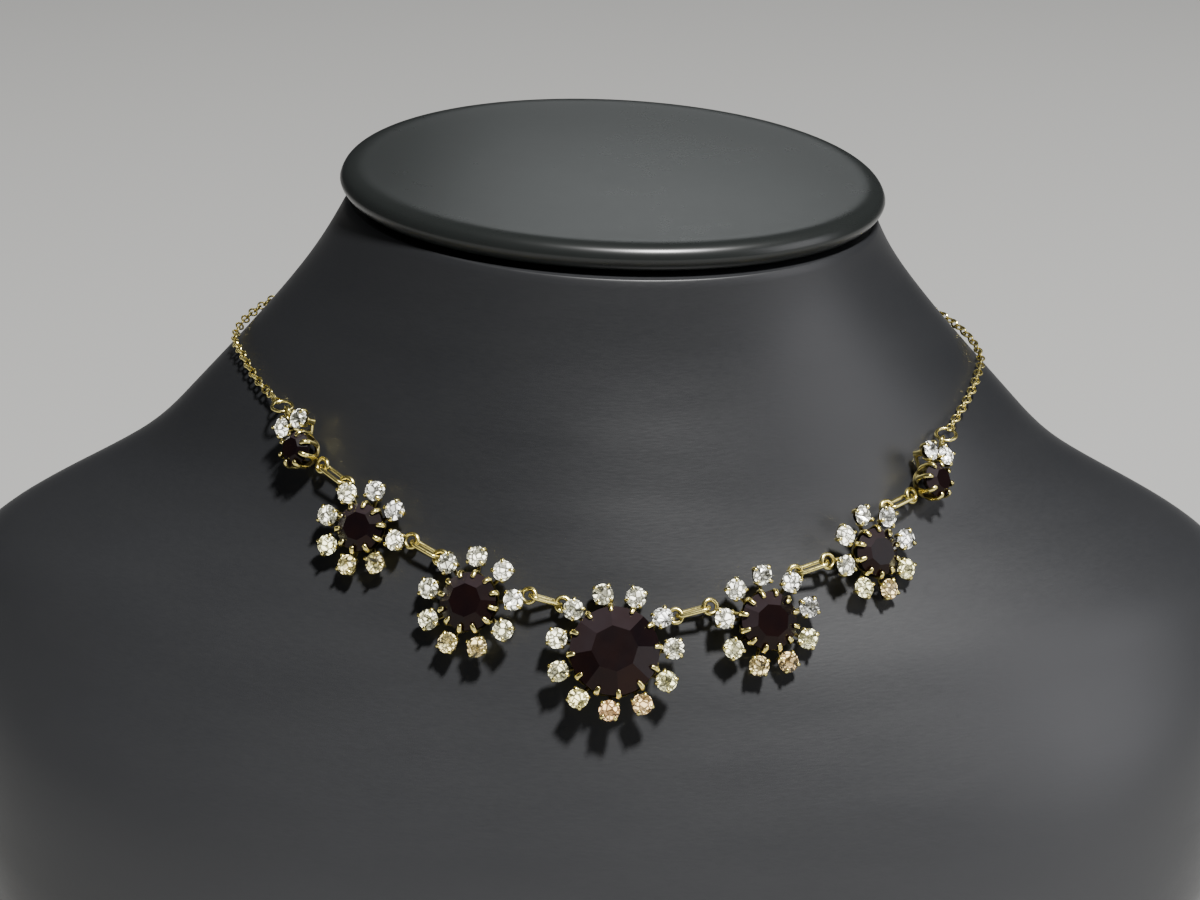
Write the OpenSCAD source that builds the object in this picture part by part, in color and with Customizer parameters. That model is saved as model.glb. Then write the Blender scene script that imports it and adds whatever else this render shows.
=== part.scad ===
// Rhinestone necklace on a low neck bust.
// Origin on the floor under the middle of the bust, +Z up, the front of the bust towards -Y.

/* [Neck bust] */
// Height of the neck's cut edge, measured up the bust's middle
neck_top = 149.2; // [148:0.1:149.4]
// Height of the cap's top, above the middle of the base
cap_h = 155.5; // [155:0.1:158]
// Rise of the cap to the back, for each mm of depth
cap_lean = 0.088; // [0.085:0.001:0.092]
// Drop of the cap and the neck's top to the right of the picture, for each mm of width
cap_roll = 0.028; // [0:0.001:0.032]
// Offset of the cap's middle to the right of the picture
cap_shift = 1.2; // [0:0.1:1.5]
// Thickness of the cap at its rim
cap_t = 5; // [3.5:0.1:5]
// Width of the cap
cap_w = 106; // [104:0.5:110]
// Reach of the cap to the front of the neck's middle
cap_front = 41.5; // [41:0.5:45]
// Reach of the cap behind the neck's middle
cap_back = 48.5; // [47.5:0.5:50]
// Gap between the cap and the seat under it
seat_gap = 0.3; // [0.1:0.05:0.5]

/* [Stones] */
// Diameter of the red stone of the middle flower
centre_d = 16; // [15:0.1:16]
// Diameter of the red stones of the next two flowers
mid_d = 10.5; // [9.5:0.1:10.8]
// Diameter of the red stones of the outer two flowers
outer_d = 8.8; // [8:0.1:9]
// Diameter of the red stones of the two end pieces
end_d = 6.5; // [6:0.1:6.6]
// Diameter of a clear stone across its corners
clear_d = 3.8; // [3.4:0.1:3.8]
// Space between a stone and the metal that holds it
stone_gap = 0.06; // [0.04:0.01:0.1]

/* [Metal] */
// Wire of the red stones' prongs
prong_d = 0.6; // [0.5:0.05:0.6]
// Wire of the clear stones' claws
claw_d = 0.5; // [0.4:0.05:0.5]
// Wire of the ring behind a red stone
frame_wire = 1; // [0.8:0.1:1]
// Wire of the spokes that carry the cups
spoke_wire = 0.7; // [0.6:0.05:0.7]
// Wire of the loops that the links hold
loop_wire = 0.84; // [0.7:0.02:0.84]
// Middle diameter of those loops
loop_d = 2.5; // [2.4:0.05:2.6]
// Wire of the oval links
link_wire = 0.8; // [0.7:0.05:0.8]
// Middle width of the oval links
link_w = 2.2; // [2.1:0.05:2.3]
// Roll of the oval links, from standing on edge
link_roll = 20; // [0:1:24]
// Wire of the jump rings and of the small loops that they hang on
ring_wire = 0.64; // [0.5:0.02:0.66]
// Middle diameter of the jump rings
ring_d = 3.8; // [3.6:0.1:4]
// Play between two wires that hook into each other
hook_gap = 0.1; // [0.06:0.01:0.12]

/* [Chain] */
// Outer size of the chain
chain_d = 1.8; // [1.6:0.05:1.9]
// Height of the chain's middle above the bust
chain_lift = 1.2; // [1.15:0.05:1.4]
// Wire of the clasp
clasp_wire = 1.3; // [1:0.1:1.4]
// Middle diameter of the clasp's ring
clasp_d = 5; // [4.6:0.1:5.4]

/* [Hidden] */

GOLD = "#d9c47c";
GARNET = "#2b0f14";
CLEAR = "#e9e6df";
BUST_GREY = "#3e3f43";
CAP_GREY = "#4a504f";

// Level sections of the bust, one for each 10 mm of height. Columns: half width, reach to the
// front, reach to the back, nose (how far the front and back are drawn in to a point), and lean
// (how far the section rises to the back, for each mm of depth).
section_step = 10;
sections = [
    [122, 90, 54, -0.14, 0],
    [127, 90, 54.5, -0.14, 0],
    [130, 89, 55, -0.14, 0],
    [132, 87, 55, -0.14, 0],
    [133, 84.5, 55, -0.12, 0],
    [134, 81.5, 54.5, -0.08, 0],
    [134, 77.5, 54, 0, 0],
    [131, 73, 52.5, 0.1, 0],
    [127.5, 68.5, 51, 0.2, 0],
    [112, 63.5, 50, 0.28, 0],
    [91.5, 59, 49, 0.3, 0],
    [82.5, 54.5, 48, 0.26, 0.02],
    [73, 50.5, 47, 0.2, 0.04],
    [64, 46.5, 46.5, 0.12, 0.065],
    [56, 43.5, 46, 0.05, 0.08],
    [51, 41.5, 46, 0, 0.085]];
last_section = len(sections) - 1;
// The origin is under the middle of the whole depth
middle_y = (sections[0][1] - sections[3][2]) / 2;
bust_sides = 64;
bust_rings = 26;
// Step over which the slope of the bust is taken, in degrees round it and in height
probe = 0.5;
// The base's rounded edge. Columns: height, inset
base_edge = [[0, 2.5], [0.8, 0.8]];
base_edge_h = 2.5;
// The neck's top: softened edge, inset of the ledge's inner side, foot of the seat
neck_edge = 0.5;
ledge_inset = 6;
seat_inset = 7;
// Height from which the neck takes on the cap's roll and offset
roll_from = 132;
// The cap's rim, from the top to the underside. Columns: inset, drop as a share of the thickness
cap_rim = [[6, 0], [3, 0.02], [1.2, 0.06], [0.4, 0.13], [0, 0.26], [0.1, 0.45], [0.45, 0.7], [0.9, 0.87], [1.6, 1]];
cap_nose = -0.01;
// Rise of the cap's middle, and the inset at which it has a share of that rise
cap_crown = 0.35;
cap_crown_inset = 20;
cap_crown_share = 0.6;

// Kinds of setting. Columns: stone radius, radius of the ring of clear stones, number of clear
// stones, number of prongs, height of the stone's girdle, height of its crown, share of its
// radius that the flat top takes, reach of the prongs over it
KINDS = [
    [end_d / 2, 5.7, 2, 8, 4, 1.5, 0.6, 0.55],
    [outer_d / 2, 7.2, 8, 10, 3, 1.7, 0.6, 0.6],
    [mid_d / 2, 8.3, 9, 12, 3.2, 2, 0.58, 0.65],
    [centre_d / 2, 10.6, 11, 12, 3.6, 2.6, 0.52, 0.7]];
STONE_R = 0;
CUPS_R = 1;
CUPS = 2;
PRONGS = 3;
GIRDLE_Z = 4;
CROWN_H = 5;
TABLE = 6;
REACH = 7;
// The seven settings, from the wearer's right to left. Columns: angle round the bust (-90 is the
// front), height on it, height of the back above it, turn to the side and up of its face, kind,
// angle of the first clear stone, of the first prong, of the loop nearer the left and of the
// loop nearer the right of the picture, and of a corner of the stone's flat top. An end piece's
// upper loop has its angle about the first clear stone's middle.
PLACES = [
    [-138.4, 110.2, 1.1, -44, 25, 0, 150, 37.5, 116, -17, 20],
    [-124.7, 99.1, 1.5, -22, 29, 1, 125, 14, 126, -4, 16],
    [-106.2, 89.9, 1.9, -20, 29, 2, 131, 24.5, 137, 16, 9],
    [-89, 83, 2.4, -1, 34, 3, 135, 7, 137, 33, 6],
    [-71.5, 87.3, 1.6, 17, 24, 2, 131, 12, 160, 49, 12],
    [-54.3, 95.5, 2.2, 31, 25, 1, 144, 8, 178, 52, 18],
    [-40.3, 105.1, 1.4, 48, 26, 0, 40, 17.5, 194, 50, 20]];
PHI = 0;
HEIGHT = 1;
LIFT = 2;
TURN = 3;
NOD = 4;
KIND = 5;
CLEAR_AT = 6;
PRONG_AT = 7;
LOOP_LEFT = 8;
LOOP_RIGHT = 9;
FACET_AT = 10;
front_phi = -90;

// Height of the wires behind a flower, above its back, and of the thinner spokes
wire_z = 0.5;
spoke_z = 0.45;
// Inset of the ring behind a red stone
frame_in = 1;
// A loop this many degrees or less from a cup is soldered to it, and needs no spoke
near_cup = 7;
loop_out = 2.3;
girdle = 0.15;
facets = 8;
facet_half = 180 / facets;
// The setting of a red stone: thickness of its wall, inset, height and thickness of the wall's
// foot, height of its shoulder
wall = 0.4;
foot_in = 1.3;
foot_z = 0.2;
foot_t = 0.1;
shoulder_z = 1.8;
// The ledge inside it: reach, drop below the stone, height of its underside above the shoulder
ledge_in = 0.35;
ledge_drop = 0.08;
ledge_rise = 0.15;
stone_tip_z = 0.4;
// A prong: added size of its rounded ends, drop of its foot below the shoulder, rise of its bend
// above the stone's edge, and added height of its tip
prong_swell = 0.1;
prong_foot = 0.3;
prong_rise = 0.2;
prong_play = 0.02;
// A clear stone and its cup, above the setting's back
clear_girdle = 2.5;
clear_girdle_t = 0.15;
clear_top = 3.4;
clear_tip = 1;
clear_table = 0.55;
cup_floor = 0.6;
cup_floor_t = 0.25;
cup_floor_r = 0.9;
cup_floor_in = 0.15;
cup_wall = 0.22;
cup_lip = 0.1;
cup_rim_drop = 0.15;
// A claw: height of its foot above the cup's floor, drop of its bend below the stone's top, reach
// of its rounded end over the stone, and added size of that end
claw_n = 4;
claw_foot = 0.9;
claw_drop = 0.2;
claw_lean = 0.28;
claw_swell = 0.12;
// The end pieces: the step from their first clear stone to the second, the rise of both, and the
// posts under them
end_clear_step = 45;
end_clear_up = 1.7;
post_r = 0.7;
post_lap = 0.12;
// Their lower loop, and the upper one on its stem from the first clear stone's cup
end_loop_out = 4.7;
end_top_out = 3.3;
end_top_z = 2.7;
end_top_d = 1.9;
stem_from = 1;

// Route of the chain on the bust. Columns: angle round the bust, height on it
ROUTE_LEFT = [[-157, 119], [-166, 120.8], [-176, 121], [-187, 122], [-199, 123.4], [-211, 124.8],
    [-223, 126], [-235, 127], [-246, 127.6], [-257, 128]];
ROUTE_RIGHT = [[-21, 116.4], [-13, 118.3], [-4, 119.2], [6, 120.6], [17, 122.2], [29, 123.8],
    [41, 125.3], [53, 126.6], [65, 127.5], [76, 128]];
// How far an oval link's straight sides lap its round ends
joint_lap = 0.04;
chain_sides = 8;
chain_rings = 38;
// Step along the chain's curve over which its direction is taken, and how much the direction that
// its first side faces rises
chain_probe = 0.05;
chain_face_up = 20;
clasp_phi = 90;
clasp_t = 128;
clasp_end_d = 1.9;
clasp_end_out = 3.9;

$fn = 48;
// Sides that stand for the larger circles
fine = 96;

// Points of the bust

function row(i) = i < 0 ? 2 * sections[0] - sections[1]
    : i > last_section ? 2 * sections[last_section] - sections[last_section - 1]
    : sections[i];
function section(t) = let(
    i = min(floor(t / section_step), last_section - 1),
    u = t / section_step - i)
    (pow(1 - u, 3) * row(i - 1) + (3 * pow(u, 3) - 6 * u * u + 4) * row(i)
        + (-3 * pow(u, 3) + 3 * u * u + 3 * u + 1) * row(i + 1) + pow(u, 3) * row(i + 2)) / 6;
// A point of a section, with the share of the cap's roll and offset that it has
function outline(s, phi, inset = 0, rolled = 0) = let(
    x = (s[0] - inset) * cos(phi) * (1 - s[3] * pow(sin(phi), 2)),
    y = ((sin(phi) < 0 ? s[1] : s[2]) - inset) * sin(phi))
    [x + rolled * cap_shift, y, s[4] * y - rolled * cap_roll * x];
function rolled_at(t) = pow(max(0, (t - roll_from) / (neck_top - roll_from)), 2);
function bust_point(phi, t, inset = 0) = outline(section(t), phi, inset, rolled_at(t)) + [0, middle_y, t];
function unit(v) = v / norm(v);
function bust_normal(phi, t) = unit(cross(
    bust_point(phi + probe, t) - bust_point(phi - probe, t),
    bust_point(phi, t + probe) - bust_point(phi, t - probe)));
function above_bust(phi, t, lift) = bust_point(phi, t) + lift * bust_normal(phi, t);

// Frames: three unit vectors, the last one the outward normal

function face_frame(turn, nod) = let(
    n = [sin(turn) * cos(nod), -cos(turn) * cos(nod), sin(nod)],
    x = [cos(turn), sin(turn), 0]) [x, cross(n, x), n];
function along_frame(x, n) = let(z = unit(cross(x, n))) [x, cross(z, x), z];
function in_frame(f, v) = f[0] * v[0] + f[1] * v[1] + f[2] * v[2];
function seat_of(p) = above_bust(p[PHI], p[HEIGHT], p[LIFT]);
function polar(r, a, z) = [r * cos(a), r * sin(a), z];
function on_setting(p, v) = seat_of(p) + in_frame(face_frame(p[TURN], p[NOD]), v);

// Where the cups and loops of a setting are, in its own frame

function cups_r(p) = KINDS[p[KIND]][CUPS_R];
function is_end(p) = p[KIND] == 0;
function side_of(p) = p[PHI] < front_phi ? -1 : 1;
function cup_step(p) = is_end(p) ? side_of(p) * end_clear_step : -360 / KINDS[p[KIND]][CUPS];
function cup_at(p, i) = p[CLEAR_AT] + i * cup_step(p);
function loop_r(p) = is_end(p) ? end_loop_out : cups_r(p) + loop_out;
function low_at(p) = side_of(p) < 0 ? p[LOOP_RIGHT] : p[LOOP_LEFT];
function top_at(p) = side_of(p) < 0 ? p[LOOP_LEFT] : p[LOOP_RIGHT];
function loop_at(p, a) = on_setting(p, polar(loop_r(p), a, wire_z));
function top_loop(p) = polar(cups_r(p), p[CLEAR_AT], 0) + polar(end_top_out, top_at(p), end_top_z);

// The jump ring of an end piece: the pull of the chain on it, its frame and its middle

function pull(p, route) = unit(above_bust(route[0][0], route[0][1], chain_lift) - on_setting(p, top_loop(p)));
function ring_frame(p, route) = along_frame(pull(p, route), [1, 0, 0]);
function hook(outer_d, outer_wire, inner_wire) = (outer_d - outer_wire - inner_wire) / 2 - hook_gap;
function ring_at(p, route) = on_setting(p, top_loop(p))
    + (hook(end_top_d, ring_wire, ring_wire) + ring_d / 2) * pull(p, route);

module in_place(origin, f) {
    multmatrix([
        [f[0][0], f[1][0], f[2][0], origin[0]],
        [f[0][1], f[1][1], f[2][1], origin[1]],
        [f[0][2], f[1][2], f[2][2], origin[2]],
        [0, 0, 0, 1]]) children();
}

module at_setting(p) {
    in_place(seat_of(p), face_frame(p[TURN], p[NOD])) children();
}

// Walls between rings of points, all of one length

function ring_faces(rings, sides) = [
    for (j = [0:rings - 2], i = [0:sides - 1], k = [0, 1])
        let(a = j * sides + i, b = j * sides + (i + 1) % sides, c = a + sides, d = b + sides)
            k == 0 ? [a, d, b] : [a, c, d]];

module stacked(rings, bottom, top) {
    sides = len(rings[0]);
    n = len(rings);
    points = concat([for (r = rings, q = r) q], [bottom, top]);
    faces = concat(ring_faces(n, sides),
        [for (i = [0:sides - 1]) [n * sides, i, (i + 1) % sides]],
        [for (i = [0:sides - 1]) [n * sides + 1, (n - 1) * sides + (i + 1) % sides, (n - 1) * sides + i]]);
    polyhedron(points, faces);
}

// The bust

function angles(n) = [for (i = [0:n - 1]) 360 * i / n];
function cap_level(x, y) = cap_h + cap_lean * (y - middle_y) - cap_roll * (x - cap_shift);
function seat_level(x, y) = cap_level(x, y) - cap_t - seat_gap;

module neck_bust() {
    neck = section(neck_top);
    side_h = neck_top - neck_edge - base_edge_h;
    rings = concat(
        [for (e = base_edge) [for (a = angles(bust_sides)) bust_point(a, e[0], e[1])]],
        [for (j = [0:bust_rings])
            [for (a = angles(bust_sides)) bust_point(a, base_edge_h + side_h * j / bust_rings)]],
        [for (inset = [neck_edge, ledge_inset])
            [for (a = angles(bust_sides)) outline(neck, a, inset, 1) + [0, middle_y, neck_top]]],
        [[for (a = angles(bust_sides)) let(q = outline(neck, a, seat_inset, 1))
            [q[0], q[1] + middle_y, seat_level(q[0], q[1] + middle_y)]]]);
    color(BUST_GREY) stacked(rings, [0, middle_y, 0], [cap_shift, middle_y, seat_level(cap_shift, middle_y)]);
}

module neck_cap() {
    rim = [cap_w / 2, cap_front, cap_back, cap_nose, 0];
    levels = concat([for (i = [len(cap_rim) - 1:-1:0]) cap_rim[i]],
        [[cap_crown_inset, -cap_crown_share * cap_crown / cap_t]]);
    rings = [for (l = levels) [for (a = angles(bust_sides)) let(q = outline(rim, a, l[0], 1))
        [q[0], q[1] + middle_y, cap_level(q[0], q[1] + middle_y) - cap_t * l[1]]]];
    color(CAP_GREY)
        stacked(rings, [cap_shift, middle_y, cap_h - cap_t], [cap_shift, middle_y, cap_h + cap_crown]);
}

// Stones

module cut_stone(top_r, girdle_r, top, high, low, tip, at) {
    levels = [[top_r, top], [girdle_r, high], [girdle_r, low]];
    points = concat([for (l = levels, i = [0:facets - 1]) polar(l[0], at + 360 * i / facets, l[1])],
        [[0, 0, tip]]);
    ring = [for (i = [0:facets - 1]) i];
    faces = concat([[for (i = ring) facets - 1 - i]],
        [for (j = [0, 1], i = ring) let(k = (i + 1) % facets)
            [j * facets + i, j * facets + k, (j + 1) * facets + k, (j + 1) * facets + i]],
        [for (i = ring) [2 * facets + i, 2 * facets + (i + 1) % facets, 3 * facets]]);
    polyhedron(points, faces);
}

function table_r(k) = k[STONE_R] * k[TABLE];
function crown_slope(k) = k[CROWN_H] / (k[STONE_R] - table_r(k) * cos(facet_half));
// Height of the crown above the girdle at radius r, where a is the angle from a facet's corner
function crown_z(k, r, a) = let(
    whole = 2 * facet_half,
    d = abs(((a % whole) + whole) % whole - facet_half))
    min(k[CROWN_H], (k[STONE_R] - r * cos(d)) * crown_slope(k));

// The lowest that the underside of the stone comes at radius r
function under_z(k, r) = let(slope = (k[GIRDLE_Z] - girdle - stone_tip_z) / k[STONE_R])
    k[GIRDLE_Z] - girdle - (k[STONE_R] - r * cos(facet_half)) * slope;

module garnet(p) {
    k = KINDS[p[KIND]];
    top = k[GIRDLE_Z] + k[CROWN_H];
    color(GARNET) at_setting(p) intersection() {
        cut_stone(table_r(k), k[STONE_R] / cos(facet_half), top, k[GIRDLE_Z], k[GIRDLE_Z] - girdle,
            stone_tip_z, p[FACET_AT]);
        cylinder(h = 2 * top, r = k[STONE_R], $fn = fine);
    }
}

module clear_stone() {
    cut_stone(clear_d / 2 * clear_table, clear_d / 2, clear_top, clear_girdle + clear_girdle_t,
        clear_girdle, clear_tip, facet_half);
}

module each_clear_stone(p) {
    rise = is_end(p) ? end_clear_up : 0;
    for (i = [0:KINDS[p[KIND]][CUPS] - 1]) rotate(cup_at(p, i)) translate([cups_r(p), 0, rise]) children();
}

module clear_stones(p) {
    color(CLEAR) at_setting(p) each_clear_stone(p) clear_stone();
}

// Metal

module rod(from, to, r) {
    d = to - from;
    translate(from) rotate([0, acos(d[2] / norm(d)), atan2(d[1], d[0])]) cylinder(h = norm(d), r = r);
}

module wire_ring(d, wire) {
    rotate_extrude() translate([d / 2, 0]) circle(d = wire);
}

module cup() {
    r = clear_d / 2;
    rim_z = clear_girdle - cup_rim_drop;
    rotate_extrude() polygon([[0, cup_floor], [cup_floor_r, cup_floor], [r + cup_lip, rim_z],
        [r + cup_lip - cup_wall, rim_z], [cup_floor_r - cup_floor_in, cup_floor + cup_floor_t],
        [0, cup_floor + cup_floor_t]]);
    claw_r = r * cos(facet_half) + stone_gap + claw_d / 2;
    foot = cup_floor + claw_foot;
    bend = clear_top - claw_drop;
    for (i = [0:claw_n - 1]) rotate(360 / claw_n * (i + 0.5)) {
        translate([claw_r, 0, foot]) cylinder(h = bend - foot, d = claw_d);
        translate([claw_r - claw_lean, 0, bend]) sphere(d = claw_d + claw_swell);
    }
}

module prongs(k, first, corner) {
    ball_d = prong_d + prong_swell;
    leg_r = k[STONE_R] + stone_gap + ball_d / 2;
    tip_r = k[STONE_R] - k[REACH];
    foot = shoulder_z - prong_foot;
    over = (ball_d / 2 + stone_gap) * norm([1, crown_slope(k)]) + prong_play;
    for (i = [0:k[PRONGS] - 1]) let(a = first + 360 * i / k[PRONGS]) rotate(a) {
        bend = [leg_r, 0, k[GIRDLE_Z] + crown_z(k, k[STONE_R], a - corner) + prong_rise];
        tip = [tip_r, 0, k[GIRDLE_Z] + crown_z(k, tip_r, a - corner) + over];
        translate([leg_r, 0, foot]) cylinder(h = bend[2] - foot, d = prong_d);
        translate(bend) sphere(d = ball_d);
        rod(bend, tip, prong_d / 2);
        translate(tip) sphere(d = ball_d);
    }
}

module bezel(k) {
    r = k[STONE_R];
    top = k[GIRDLE_Z] - girdle;
    rotate_extrude($fn = fine) polygon([[r - foot_in, foot_z], [r + wall, shoulder_z],
        [r + wall, top], [r + stone_gap, top], [r + stone_gap, under_z(k, r) - ledge_drop],
        [r - ledge_in, under_z(k, r - ledge_in) - ledge_drop],
        [r - ledge_in, shoulder_z + ledge_rise], [r - foot_in - ledge_in, foot_z + foot_t]]);
}

module loop(p, at) {
    rotate(at) translate([loop_r(p), 0, wire_z]) wire_ring(loop_d, loop_wire);
}

module spoke(from, to, at, z) {
    rotate(at) rod([from, 0, z], [to, 0, z], spoke_wire / 2);
}

module flower_wires(p, frame_r) {
    pitch = abs(cup_step(p));
    for (i = [0:KINDS[p[KIND]][CUPS] - 1]) spoke(frame_r, cups_r(p), cup_at(p, i), spoke_z);
    for (a = [p[LOOP_LEFT], p[LOOP_RIGHT]]) {
        turn = (a - p[CLEAR_AT] + 360 + pitch / 2) % pitch - pitch / 2;
        loop(p, a);
        if (abs(turn) > near_cup) spoke(frame_r, loop_r(p) - loop_d / 2, a, wire_z);
    }
}

module end_wires(p, frame_r) {
    post_h = cup_floor + end_clear_up + post_lap - spoke_z;
    loop(p, low_at(p));
    spoke(frame_r, loop_r(p) - loop_d / 2, low_at(p), wire_z);
    for (i = [0:KINDS[p[KIND]][CUPS] - 1]) {
        spoke(frame_r, cups_r(p), cup_at(p, i), spoke_z);
        translate(polar(cups_r(p), cup_at(p, i), spoke_z)) cylinder(h = post_h, r = post_r);
    }
}

module setting(p) {
    k = KINDS[p[KIND]];
    frame_r = k[STONE_R] - frame_in;
    color(GOLD) at_setting(p) {
        bezel(k);
        prongs(k, p[PRONG_AT], p[FACET_AT]);
        translate([0, 0, wire_z]) wire_ring(2 * frame_r, frame_wire);
        each_clear_stone(p) cup();
        if (is_end(p)) end_wires(p, frame_r); else flower_wires(p, frame_r);
    }
}

// An end piece's setting also has the small upright loop that the jump ring hangs in
module end_setting(p, route) {
    f = ring_frame(p, route);
    stem = polar(cups_r(p), p[CLEAR_AT], 0) + polar(stem_from, top_at(p), end_top_z);
    color(GOLD) {
        setting(p);
        in_place(on_setting(p, top_loop(p)), [f[0], f[2], -f[1]]) wire_ring(end_top_d, ring_wire);
        at_setting(p) rod(stem, top_loop(p) - polar(end_top_d / 2, top_at(p), 0), ring_wire / 2);
    }
}

module jump_ring(p, route) {
    color(GOLD) in_place(ring_at(p, route), ring_frame(p, route)) wire_ring(ring_d, ring_wire);
}

// The middle of a loop's wire on the side that faces a point
function hook_point(p, a, towards) = let(
    n = face_frame(p[TURN], p[NOD])[2],
    d = towards - loop_at(p, a))
    loop_at(p, a) + loop_d / 2 * unit(d - (d * n) * n);

// An oval link from one setting's loop to the next one's, rolled about its length
module oval_link(p, q) {
    p_at = is_end(p) ? low_at(p) : p[LOOP_RIGHT];
    from = hook_point(p, p_at, loop_at(q, q[LOOP_LEFT]));
    to = hook_point(q, q[LOOP_LEFT], loop_at(p, p_at));
    n = face_frame(p[TURN], p[NOD])[2] + face_frame(q[TURN], q[NOD])[2];
    straight = norm(to - from) - 2 * hook(link_w, link_wire, loop_wire);
    color(GOLD) in_place((from + to) / 2, along_frame(unit(to - from), n)) rotate([link_roll, 0, 0])
        for (s = [-1, 1]) {
            translate([s * straight / 2, 0, 0]) rotate(-90 * s) rotate_extrude(angle = 180)
                translate([link_w / 2, 0]) circle(d = link_wire);
            translate([0, s * link_w / 2, 0]) rotate([0, 90, 0])
                cylinder(h = straight + 2 * joint_lap, d = link_wire + joint_lap / 2, center = true);
        }
}

// The chain: a tube along its route, from the jump ring to the clasp

function clasp_frame() = let(n = bust_normal(clasp_phi, clasp_t)) [[-1, 0, 0], cross(n, [-1, 0, 0]), n];
function clasp_at() = above_bust(clasp_phi, clasp_t, chain_lift);
function clasp_end(side) = clasp_at()
    + side * [clasp_end_out + clasp_end_d / 2 + ring_wire / 2 + hook_gap, 0, 0];
function chain_stations(p, route, side) = concat(
    [ring_at(p, route) + (ring_d / 2 + ring_wire / 2 + hook_gap) * pull(p, route)],
    [for (r = route) above_bust(r[0], r[1], chain_lift)], [clasp_end(side)]);
function station(s, i) = i < 0 ? 2 * s[0] - s[1]
    : i >= len(s) ? 2 * s[len(s) - 1] - s[len(s) - 2] : s[i];
// A smooth curve through the stations, where v runs from 0 to the last station's number
function curve_at(s, v) = let(
    i = min(floor(v), len(s) - 2),
    u = v - i,
    a = station(s, i - 1),
    b = station(s, i),
    c = station(s, i + 1),
    d = station(s, i + 2))
    b + u / 2 * (c - a + u * (2 * a - 5 * b + 4 * c - d + u * (3 * (b - c) + d - a)));

module chain(p, route, side) {
    s = chain_stations(p, route, side);
    last = len(s) - 1;
    rings = [for (j = [0:chain_rings - 1]) let(
        v = last * j / (chain_rings - 1),
        q = curve_at(s, v),
        f = along_frame(unit(curve_at(s, v + chain_probe) - curve_at(s, v - chain_probe)),
            unit([q[0], q[1] - middle_y, chain_face_up])))
        [for (a = angles(chain_sides)) q + chain_d / 2 * (cos(a) * f[1] + sin(a) * f[2])]];
    color(GOLD) stacked(rings, s[0], s[last]);
}

module clasp() {
    color(GOLD) in_place(clasp_at(), clasp_frame()) {
        wire_ring(clasp_d, clasp_wire);
        for (s = [-1, 1]) translate([s * clasp_end_out, 0, 0]) wire_ring(clasp_end_d, ring_wire);
    }
}

neck_bust();
neck_cap();
end_setting(PLACES[0], ROUTE_LEFT);  // setting_left_end
setting(PLACES[1]);  // setting_left_outer
setting(PLACES[2]);  // setting_left_mid
setting(PLACES[3]);  // setting_centre
setting(PLACES[4]);  // setting_right_mid
setting(PLACES[5]);  // setting_right_outer
end_setting(PLACES[6], ROUTE_RIGHT);  // setting_right_end
garnet(PLACES[0]);  // garnet_left_end
garnet(PLACES[1]);  // garnet_left_outer
garnet(PLACES[2]);  // garnet_left_mid
garnet(PLACES[3]);  // garnet_centre
garnet(PLACES[4]);  // garnet_right_mid
garnet(PLACES[5]);  // garnet_right_outer
garnet(PLACES[6]);  // garnet_right_end
clear_stones(PLACES[0]);  // clear_stones_left_end
clear_stones(PLACES[1]);  // clear_stones_left_outer
clear_stones(PLACES[2]);  // clear_stones_left_mid
clear_stones(PLACES[3]);  // clear_stones_centre
clear_stones(PLACES[4]);  // clear_stones_right_mid
clear_stones(PLACES[5]);  // clear_stones_right_outer
clear_stones(PLACES[6]);  // clear_stones_right_end
oval_link(PLACES[0], PLACES[1]);  // link_left_end
oval_link(PLACES[1], PLACES[2]);  // link_left_outer
oval_link(PLACES[2], PLACES[3]);  // link_left_mid
oval_link(PLACES[3], PLACES[4]);  // link_right_mid
oval_link(PLACES[4], PLACES[5]);  // link_right_outer
oval_link(PLACES[5], PLACES[6]);  // link_right_end
jump_ring(PLACES[0], ROUTE_LEFT);  // jump_ring_left
jump_ring(PLACES[6], ROUTE_RIGHT);  // jump_ring_right
chain(PLACES[0], ROUTE_LEFT, -1);  // chain_left
chain(PLACES[6], ROUTE_RIGHT, 1);  // chain_right
clasp();
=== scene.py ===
"""Looks of a rhinestone necklace on a low neck bust.

Lengths are in metres and angles in degrees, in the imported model's own frame: the origin is on the
floor under the middle of the bust, +Z is up and the bust faces -Y. The sizes that shape a piece
repeat those of the construction model.
"""
import sys
import logging
import math
from collections.abc import Sequence
from dataclasses import dataclass, field
from enum import Enum

import bmesh
import bpy
import numpy as np
from mathutils import Matrix


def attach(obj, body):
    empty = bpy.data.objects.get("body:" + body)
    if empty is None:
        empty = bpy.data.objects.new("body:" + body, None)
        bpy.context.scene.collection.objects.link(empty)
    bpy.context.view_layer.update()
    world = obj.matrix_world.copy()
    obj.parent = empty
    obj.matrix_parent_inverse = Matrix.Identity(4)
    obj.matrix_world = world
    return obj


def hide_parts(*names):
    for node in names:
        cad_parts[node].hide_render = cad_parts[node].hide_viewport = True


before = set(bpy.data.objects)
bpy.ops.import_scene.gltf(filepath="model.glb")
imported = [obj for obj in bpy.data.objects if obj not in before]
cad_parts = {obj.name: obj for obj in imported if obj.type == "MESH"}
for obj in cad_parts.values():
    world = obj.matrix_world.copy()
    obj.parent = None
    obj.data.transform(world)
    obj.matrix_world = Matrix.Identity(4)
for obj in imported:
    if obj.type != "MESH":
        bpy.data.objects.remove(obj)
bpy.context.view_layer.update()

LOG = logging.getLogger("necklace")
BODY = "root"
Colour = tuple[float, float, float, float]
Line = tuple[tuple[float, float], ...]
X_AXIS = np.array([1.0, 0.0, 0.0])
ORIGIN = np.zeros(3)


class Slot(Enum):
    """The record's material slots."""

    BUST = "bust"
    CAP = "cap"
    GOLD = "gold_metal"
    RED = "red_stone"
    CLEAR = "clear_stone"


class Side(Enum):
    """Which half of the necklace, as the picture shows it."""

    LEFT = -1
    RIGHT = 1


# Points and directions


def unit(v: np.ndarray) -> np.ndarray:
    """The direction of v."""
    return v / np.linalg.norm(v)


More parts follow.
